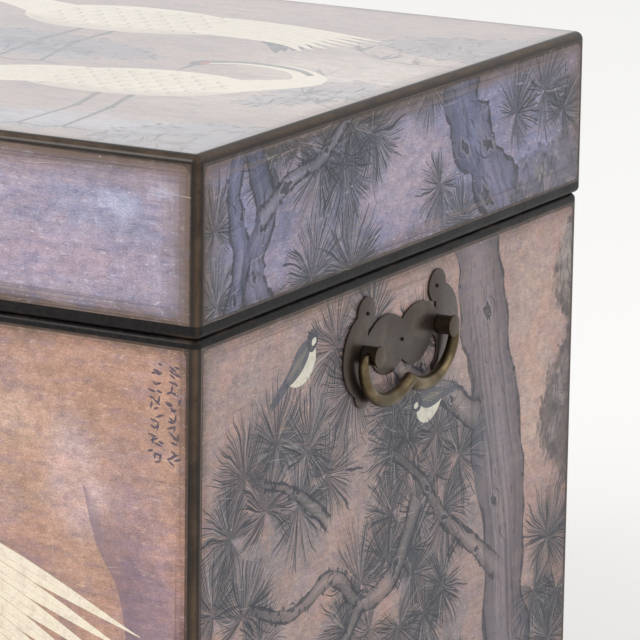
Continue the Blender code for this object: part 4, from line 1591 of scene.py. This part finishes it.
# %% Lid, right end
picture = side_picture("lid", "right", 53)
washes(picture, (186, 36, 56, 30, 0, (166, 155, 170), 0.75), (96, 44, 70, 26, 0, (100, 102, 124), 0.6),
       (262, 36, 44, 36, 0, BLUE, 0.6), (364, 38, 26, 44, 0, BROWN_GREY, 0.75),
       (190, 74, 230, 9, 0, BROWN_GREY, 0.7), (4, 36, 18, 44, 0, BROWN_GREY, 0.6))
dabs(picture, 260, COOL_DABS, 0.36, 9)
margins(picture, *END_MARGINS)
tufts(picture, (84, 66, 80, 30), (112, 60, 60, 34), (134, 66, 10, 36), (152, 60, 340, 32), (126, 50, 300, 34),
      (104, 56, 280, 32), (98, 2, 90, 32), (134, 0, 90, 34), (60, 62, 160, 28), (128, 74, 250, 34),
      (66, 74, 250, 28), (210, 74, 210, 26), (300, 46, 40, 28), (330, 52, 20, 32), (352, 40, 60, 26),
      (222, 24, 220, 24), (246, 2, 110, 24), (10, 40, 100, 26), (12, 6, 80, 24))
old_trunk(picture, mm(54, -8, 44, 18, 54, 42, 40, 80), 20 * MM, 15 * MM, 12, ((0.3, 0.0, 3.4), (0.6, 0.1, 3)),
          DEEP_BLUE)
old_trunk(picture, mm(22, -8, 34, 24, 26, 50, 34, 82), 13 * MM, 10 * MM, 8, ((0.14, 0.0, 3),), DEEP_BLUE)
old_trunk(picture, mm(292, -8, 274, 20, 254, 44, 236, 82), 38 * MM, 32 * MM, 22,
          ((0.30, 0.22, 7), (0.52, -0.2, 6), (0.72, 0.25, 5)), DEEP_BLUE)
branch(picture, mm(50, 38, 76, 51, 104, 57, 140, 76), 10 * MM, 5 * MM, rgb(140, 136, 152))
each(hollow_at, picture, (72, 49, 4.2, 20), (110, 61, 3.4, 30))
rock(picture, (376, 22, 344, 26, 312, 22, 298, 8, 310, -6, 376, -6), (92, 92, 106), 0.6)
set_side(picture, "lid", "right", (60, 40, 110), VIOLET, 15.2)

# %% [markdown]
# ## The front of the lid
#
# The front stays an open misty field between a bough at the left and the worn corner at the right, where
# the varnish has gone and chalky blue shows.

# %% Lid, front
picture = side_picture("lid", "front", 61)
washes(picture, (560, 46, 44, 16, 0, (136, 138, 164), 0.6), (566, 50, 14, 7, 0, (178, 186, 214), 0.7),
       (588, 58, 9, 4, 0, (186, 194, 216), 0.8), (530, 22, 60, 16, 0, (156, 140, 158), 0.6),
       (300, 36, 190, 24, 0, (158, 150, 170), 0.5), (90, 44, 110, 26, 0, (122, 120, 140), 0.6))
dabs(picture, 520, COOL_DABS, 0.40, 9)
margins(picture, ("top", 15, 0.72), ("right left", 15, 0.92), ("bottom", 6, 0.35))
pine_bough(picture, -6, 44, 4, 150, 11, 32, 4)
rock(picture, (230, -6, 250, 14, 300, 20, 350, 10, 372, -6), COOL_ROCK, 0.5)
meadow(picture, 24, (400, 18), (442, 14), (206, 16))
set_side(picture, "lid", "front", (120, 70, 170), (150, 142, 160), 18.5)

# %% [markdown]
# ## The left end and the back of the lid
#
# These follow the same pattern with less in them.

# %% Lid, left end and back
picture = side_picture("lid", "left", 67)
washes(picture, (280, 42, 100, 26, 0, (118, 118, 138), 0.6), (90, 36, 80, 28, 0, LILAC, 0.6))
dabs(picture, 260, COOL_DABS, 0.36, 9)
margins(picture, *END_MARGINS)
pine_bough(picture, 378, 40, 176, 150, 11, 34, 4)
tufts(picture, (190, 74, 250, 30), (150, 4, 90, 30))
meadow(picture, 24, (60, 16), (104, 20))
set_side(picture, "lid", "left", (60, 40, 110), VIOLET, 21.8)

picture = side_picture("lid", "back", 71)
washes(picture, (500, 40, 120, 28, 0, (122, 120, 142), 0.6), (80, 42, 90, 28, 0, (124, 120, 140), 0.5),
       (300, 40, 160, 24, 0, LILAC, 0.5))
dabs(picture, 440, COOL_DABS, 0.40, 9)
margins(picture, ("top", 15, 0.7), ("right left", 12, 0.8))
each(pine_bough, picture, (608, 36, 174, 180, 11, 32, 4, -1), (-6, 46, -4, 110, 9, 30, 3))
rock(picture, (260, -6, 284, 16, 330, 18, 380, -6), COOL_ROCK, 0.5)
set_side(picture, "lid", "back", (110, 50, 150), (158, 150, 166), 24.3)

# %% [markdown]
# ## The top of the lid
#
# The top is the picture that people look down on: two pale cranes on a dusty ground, with rocks, bamboo
# and mist in blue-grey wash round them.

# %% Lid, top
picture = Picture(2 * (lid_high.x - EDGE_ROUND), 2 * (lid_high.y - EDGE_ROUND), 83)
washes(picture, (150, 290, 150, 60, 10, (104, 108, 122), 0.65),
       (300, 190, 110, 60, 20, (132, 132, 144), 0.55), (566, 190, 60, 110, 0, (206, 194, 184), 0.66),
       (120, 90, 120, 60, 0, (112, 112, 122), 0.6), (430, 30, 170, 30, 0, (140, 146, 160), 0.6),
       (390, 180, 90, 24, -8, (134, 140, 156), 0.55), (520, 40, 60, 22, 10, (184, 190, 204), 0.5),
       (250, 340, 160, 26, 0, (160, 142, 132), 0.5), (60, 200, 70, 60, 0, (176, 150, 138), 0.5))
dabs(picture, 420, WARM_DABS + COOL_DABS, 0.30, 24)
each(rock, picture,
     ((-8, 250, 60, 240, 130, 262, 190, 300, 210, 380, -8, 380), (112, 108, 116), 0.55),
     ((250, 380, 280, 340, 330, 326, 380, 346, 400, 380), (120, 116, 122), 0.5),
     ((200, -8, 226, 30, 280, 46, 330, 26, 350, -8), (122, 120, 128), 0.5),
     ((606, 60, 580, 66, 548, 40, 540, 10, 560, -8, 606, -8), (138, 144, 160), 0.4),
     ((606, 330, 560, 320, 536, 292, 560, 270, 606, 262), (122, 122, 134), 0.5),
     ((330, 200, 370, 226, 440, 214, 470, 190, 430, 172, 360, 176), (112, 118, 136), 0.5),
     ((560, 110, 590, 130, 600, 170, 580, 190, 556, 160), (130, 132, 148), 0.45),
     ((340, 40, 380, 58, 430, 50, 450, 24, 400, 10, 350, 14), (112, 120, 140), 0.5))
pine_bough(picture, -6, 120, 12, 190, 14, 42, 5)
tufts(picture, (60, 60, 60, 40), (110, 30, 90, 36), (40, 170, 120, 40), (230, 110, 30, 36),
      (150, 210, 60, 38))
each(bamboo, picture, ((330, 380, 318, 300, 300, 240, 292, 190),), ((250, -6, 262, 50, 290, 96, 300, 132),),
     ((606, 250, 570, 244, 540, 262, 520, 300),), ((606, 120, 580, 140, 560, 170, 556, 210), 16 * MM))
crane(picture, 408, 272, 150, turn=-6, flip=True, neck="down", reach=0.9)
crane(picture, 486, 126, 138, turn=8, neck="back")
each(grass, picture, (250, 60, 18, 30), (300, 60, 14, 30))
brown_frame(picture, 1.0 * MM, strength=0.75)
age(picture, 110, 110, 260)
corner = Matrix.Translation((-lid_high.x + EDGE_ROUND, -lid_high.y + EDGE_ROUND, lid_high.z))
paint_sheet("lid_top_painting", picture, corner,
            (rgb(158, 144, 140), rgb(108, 92, 82), 9 * MM, 27.7), top_paint)

# %% [markdown]
# ## The handles
#
# Each end has a cut brass plate shaped like a small cloud, two posts that pass through it, three nails and
# a bail that swings in the posts. They are drawn in the handle's own frame, out of the face, across it and
# up from the bail's axis, and one matrix per end puts them in place.

# %% Handle sizes
ARC_STEP = math.radians(4)
HALF_SPACING = 37 * MM
SEAT_GAP = 0.3 * MM
PLATE_THICKNESS = 1.0 * MM
PLATE_FRONT = SEAT_GAP + PLATE_THICKNESS
POST_RADIUS = 4.6 * MM
HEAD_RADIUS = POST_RADIUS + 0.65 * MM
WIRE_RADIUS = 3.25 * MM
LEG_RADIUS = 2.6 * MM
PIN_RADIUS = 1.6 * MM
PIN_DEPTH = 7 * MM           # how far a pin reaches into its post
TAIL_RADIUS = 2 * MM         # the post's tail, which goes through the plate
LOBE_RADIUS = 3.45 * MM      # the wire swells a little where the hand takes it
AXIS_OUT = PLATE_FRONT + 0.85 * MM + WIRE_RADIUS
HEAD_UNDERSIDE = AXIS_OUT + LEG_RADIUS + 0.85 * MM
POST_END = HEAD_UNDERSIDE + 1.1 * MM
axis_height = rim - 37.5 * MM


def handle_place(side):
    """Puts a handle on the end at +X (side 1) or -X (side -1)."""
    turn = Matrix.Rotation(0 if side > 0 else math.pi, 4, "Z")
    return Matrix.Translation((side * body_high.x, 0, axis_height)) @ turn


# %% [markdown]
# ## Back plate
#
# The outline is a chain of circles: the two lobes of the cloud, the curled ears, the arms and their round
# tips. It is followed circle by circle for one half and mirrored for the other.

# %% Plate outline
TOP_LOBE = (0.432, -0.324, 0.730)
EAR_UNDERSIDE = (0.912, 0.508, 0.190)
EAR_CROWN = (0.954, 0.508, 0.232)
ARM = (0.995, -0.008, 0.549)
TIP = (1.027, -0.486, 0.203)
ARM_INSIDE = (0.743, -0.308, 0.222)
BOTTOM_LOBE = (0.351, 0.149, 0.535)
NOTCH = 0.919
NAIL_PLACES = {"front": (-34.5, 19.24), "centre": (0, 0), "back": (34.5, 19.24)}


def arc(centre, radii, start, end):
    steps = max(2, math.ceil(abs(end - start) / ARC_STEP))
    angles = [start + (end - start) * i / steps for i in range(steps + 1)]
    return [(centre[0] + radii[0] * math.cos(a), centre[1] + radii[1] * math.sin(a)) for a in angles]


def crossing(first, second, hand):
    """Where two circles meet, on the left (1) or right (-1) of the way from first to second."""
    across, up = second[0] - first[0], second[1] - first[1]
    apart = math.hypot(across, up)
    along = (first[2] ** 2 - second[2] ** 2 + apart ** 2) / (2 * apart)
    aside = hand * math.sqrt(max(first[2] ** 2 - along ** 2, 0.0))
    return (first[0] + (along * across - aside * up) / apart,
            first[1] + (along * up + aside * across) / apart)


def on_upright(circle, across, above):
    return (across, circle[1] + above * math.sqrt(circle[2] ** 2 - (across - circle[0]) ** 2))


def follow(circle, start, end, turn):
    """Points of the circle from start to end, clockwise (-1) or anticlockwise (1)."""
    angles = [math.atan2(y - circle[1], x - circle[0]) for x, y in (start, end)]
    sweep = (turn * (angles[1] - angles[0])) % (2 * math.pi)
    return arc(circle, (circle[2], circle[2]), angles[0], angles[0] + turn * sweep)


def plate_outline():
    notch_low = on_upright(TOP_LOBE, NOTCH, 1)
    notch_high = on_upright(EAR_UNDERSIDE, NOTCH, -1)
    ear_side = (EAR_CROWN[0] - EAR_CROWN[2], EAR_CROWN[1])
    waist = crossing(EAR_CROWN, ARM, 1)
    heel = crossing(ARM, TIP, 1)
    toe = crossing(TIP, ARM_INSIDE, 1)
    crook = crossing(ARM_INSIDE, BOTTOM_LOBE, -1)
    foot = on_upright(BOTTOM_LOBE, 0.0, -1)
    half = follow(TOP_LOBE, on_upright(TOP_LOBE, 0.0, 1), notch_low, -1)
    half += follow(EAR_UNDERSIDE, notch_high, ear_side, -1)
    start = ear_side
    for circle, end, turn in ((EAR_CROWN, waist, -1), (ARM, heel, -1), (TIP, toe, -1),
                              (ARM_INSIDE, crook, 1), (BOTTOM_LOBE, foot, -1)):
        half += follow(circle, start, end, turn)[1:]
        start = end
    other_half = [(-x, y) for x, y in reversed(half[1:-1])]
    return [(x * HALF_SPACING, y * HALF_SPACING) for x, y in half + other_half]


print("plate outline has", len(plate_outline()), "points")

# %% [markdown]
# ## Cutting the plates
#
# A brass worker saws the outline from sheet and takes the sharp front edge off with a file. The plate
# stands off the wood by a hair, so that no two faces lie in one plane.

# %% Plates
EDGE_BREAK = 0.22 * MM       # the file's touch round the plate's front edge


def fit_on_end(name, side, shape, material, body="root"):
    """Puts a shape that was drawn in the handle's own frame on its end, as the piece of that name."""
    shape.transform(handle_place(side))
    finish_piece(name + "_visual", shape, [material], body=body, replaced=[name])


def make_plate(name, side):
    """Cuts the plate from sheet brass: one flat face, made thick, with its front edge broken."""
    shape = bmesh.new()
    corners = [shape.verts.new((SEAT_GAP, across, up)) for across, up in plate_outline()]
    rim_edges = [shape.edges.new((corners[i - 1], corner)) for i, corner in enumerate(corners)]
    bmesh.ops.triangle_fill(shape, use_beauty=True, use_dissolve=True, edges=rim_edges, normal=(1, 0, 0))
    made = bmesh.ops.extrude_face_region(shape, geom=shape.faces[:], use_keep_orig=True)
    bmesh.ops.translate(shape, vec=(PLATE_THICKNESS, 0, 0), verts=made_verts(made))
    face_outward(shape)
    chosen = [e for e in shape.edges if all(abs(v.co.x - PLATE_FRONT) < CLOSE for v in e.verts)
              and any(abs(f.normal.x) < 0.5 for f in e.link_faces)]
    bevel_edges(shape, chosen, EDGE_BREAK, 3, clamp=True)
    fit_on_end(name, side, shape, plate_finish)


for end, side in (("right", 1), ("left", -1)):
    make_plate(end + "_handle_plate", side)

# %% [markdown]
# ## Posts and nails
#
# Posts and nails are turned pieces: half an outline is spun once round its axis. The bail's pins go into
# an eye drilled into the side of each post, so a drill is subtracted there.

# %% Turned pieces
TURNED_STEPS = 56
EYE_DEPTH = 7.4 * MM         # how far the bail's eye is drilled into a post
DOME_RADIUS = 1.0 * MM
DOME_HEIGHT = 0.5 * MM
SHANK_RADIUS = 0.5 * MM


def turned(profile, across, up):
    """Spins a profile of (radius, height out of the face) round an axis that points out of the face."""
    shape = bmesh.new()
    line = [shape.verts.new((height, across + radius, up)) for radius, height in profile]
    edges = [shape.edges.new(pair) for pair in zip(line, line[1:])]
    bmesh.ops.spin(shape, geom=line + edges, cent=(0, across, up), axis=(1, 0, 0), angle=2 * math.pi,
                   steps=TURNED_STEPS, use_merge=True)
    bmesh.ops.remove_doubles(shape, verts=shape.verts, dist=CLOSE)
    face_outward(shape)
    return shape


def carve(shape, cutter):
    """Takes the cutter's shape out of a closed shape, and returns what is left."""
    whole, tool = new_object("whole", shape), new_object("tool", cutter)
    cut = whole.modifiers.new("cut", "BOOLEAN")
    cut.operation, cut.solver, cut.object = "DIFFERENCE", "EXACT", tool
    left = bmesh.new()
    left.from_object(whole, bpy.context.evaluated_depsgraph_get())
    for item in (whole, tool):
        mesh = item.data
        bpy.data.objects.remove(item)
        bpy.data.meshes.remove(mesh)
    return left


def rounded_step(radius, height, size, quarter):
    """Four points round an outer corner of a profile; quarter 0 turns from flat to side."""
    points = []
    for i in range(4):
        angle = math.pi / 2 * (1 - i / 3) if quarter == 0 else -math.pi / 2 * i / 3
        middle = height - size if quarter == 0 else height + size
        points.append((radius - size + size * math.cos(angle), middle + size * math.sin(angle)))
    return points


EYE_RADIUS = PIN_RADIUS + 0.4 * MM
post_profile = [(0, POST_END), *rounded_step(HEAD_RADIUS, POST_END, 0.3 * MM, 0),
                *rounded_step(HEAD_RADIUS, HEAD_UNDERSIDE, 0.2 * MM, 1),
                (POST_RADIUS, HEAD_UNDERSIDE), (POST_RADIUS, PLATE_FRONT + SEAT_GAP + 0.2 * MM),
                (POST_RADIUS - 0.2 * MM, PLATE_FRONT + SEAT_GAP), (TAIL_RADIUS, PLATE_FRONT + SEAT_GAP),
                (TAIL_RADIUS, SEAT_GAP + 0.1 * MM), (0, SEAT_GAP + 0.1 * MM)]


def make_post(name, side, across):
    inner = HALF_SPACING + POST_RADIUS - EYE_DEPTH
    outer = HALF_SPACING + POST_RADIUS + 2 * MM
    middle = (AXIS_OUT, math.copysign(1, across) * (inner + outer) / 2, 0)
    drill = bmesh.new()
    bmesh.ops.create_cone(drill, cap_ends=True, segments=32, radius1=EYE_RADIUS, radius2=EYE_RADIUS,
                          depth=outer - inner,
                          matrix=Matrix.Translation(middle) @ Matrix.Rotation(math.pi / 2, 4, "X"))
    face_outward(drill)
    shape = carve(turned(post_profile, across, 0), drill)
    fit_on_end(name, side, shape, post_finish)


def make_nail(name, side, across, up):
    head = PLATE_FRONT + SEAT_GAP
    angles = [math.pi / 2 * i / 5 for i in range(6)]
    dome = [(DOME_RADIUS * math.sin(a), head + DOME_HEIGHT * math.cos(a)) for a in angles]
    shape = turned([*dome, (SHANK_RADIUS, head), (SHANK_RADIUS, SEAT_GAP), (0, SEAT_GAP)], across, up)
    fit_on_end(name, side, shape, nail_finish)


# %% [markdown]
# ## The bails
#
# A bail is one wire, thin at its pins and thick below, bent into two lobes that meet in a cusp. A curve
# with its own radius at every point stands for it. Each bail rides on its own body, so that it swings.

# %% Bail
LEG_ACROSS = HALF_SPACING + HEAD_RADIUS + 0.45 * MM + LEG_RADIUS
BEND_RADIUS = LEG_ACROSS - HALF_SPACING - POST_RADIUS - 0.5 * MM
BAIL_DROP = 24.2 * MM
CUSP_RISE = 5.3 * MM
LOBE_ACROSS = 0.424 * LEG_ACROSS
WIRE_SIDES = 10              # bevel steps per quarter of the wire's section


def bail_half():
    """Centre line and radius of the wire from the pin's tip to the middle cusp."""
    quarter = math.pi / 2
    bend = arc((LEG_ACROSS - BEND_RADIUS, -BEND_RADIUS), (BEND_RADIUS, BEND_RADIUS), quarter, 0.0)
    lobe = arc((LOBE_ACROSS, -BEND_RADIUS), (LEG_ACROSS - LOBE_ACROSS, BAIL_DROP - BEND_RADIUS),
               0.0, -quarter)[1:]
    rise = (LOBE_ACROSS ** 2 + CUSP_RISE ** 2) / (2 * CUSP_RISE)
    cusp = arc((LOBE_ACROSS, rise - BAIL_DROP), (rise, rise), -quarter,
               -quarter - math.asin(LOBE_ACROSS / rise))[1:]
    line = [(HALF_SPACING + POST_RADIUS - PIN_DEPTH, 0.0, PIN_RADIUS)]
    line += [(y, z, PIN_RADIUS + (LEG_RADIUS - PIN_RADIUS) * i / (len(bend) - 1))
             for i, (y, z) in enumerate(bend)]
    line += [(y, z, LEG_RADIUS + (LOBE_RADIUS - LEG_RADIUS) * (i + 1) / len(lobe))
             for i, (y, z) in enumerate(lobe)]
    return line + [(y, z, LOBE_RADIUS) for y, z in cusp]


def make_bail(name, side):
    half = bail_half()
    line = half + [(-y, z, radius) for y, z, radius in reversed(half[:-1])]
    curve = bpy.data.curves.new(name, "CURVE")
    curve.dimensions = "3D"
    curve.bevel_depth = WIRE_RADIUS
    curve.bevel_resolution = WIRE_SIDES
    curve.use_fill_caps = True
    spline = curve.splines.new("POLY")
    spline.points.add(len(line) - 1)
    for point, (y, z, radius) in zip(spline.points, line):
        point.co = (AXIS_OUT, y, z, 1)
        point.radius = radius / WIRE_RADIUS
    wire = bpy.data.objects.new(name + "_wire", curve)
    bpy.context.scene.collection.objects.link(wire)
    shape = bmesh.new()
    mesh = wire.evaluated_get(bpy.context.evaluated_depsgraph_get()).to_mesh()
    shape.from_mesh(mesh)
    bpy.data.objects.remove(wire)
    bpy.data.curves.remove(curve)
    bmesh.ops.remove_doubles(shape, verts=shape.verts, dist=CLOSE)
    face_outward(shape)
    fit_on_end(name, side, shape, bail_finish, body=name)


for end, side in (("right", 1), ("left", -1)):
    for which, across in (("front", -side * HALF_SPACING), ("back", side * HALF_SPACING)):
        make_post(f"{end}_{which}_post", side, across)
    for which, (across, up) in NAIL_PLACES.items():
        make_nail(f"{end}_{which}_nail", side, side * across * MM, up * MM)
    make_bail(end + "_bail", side)
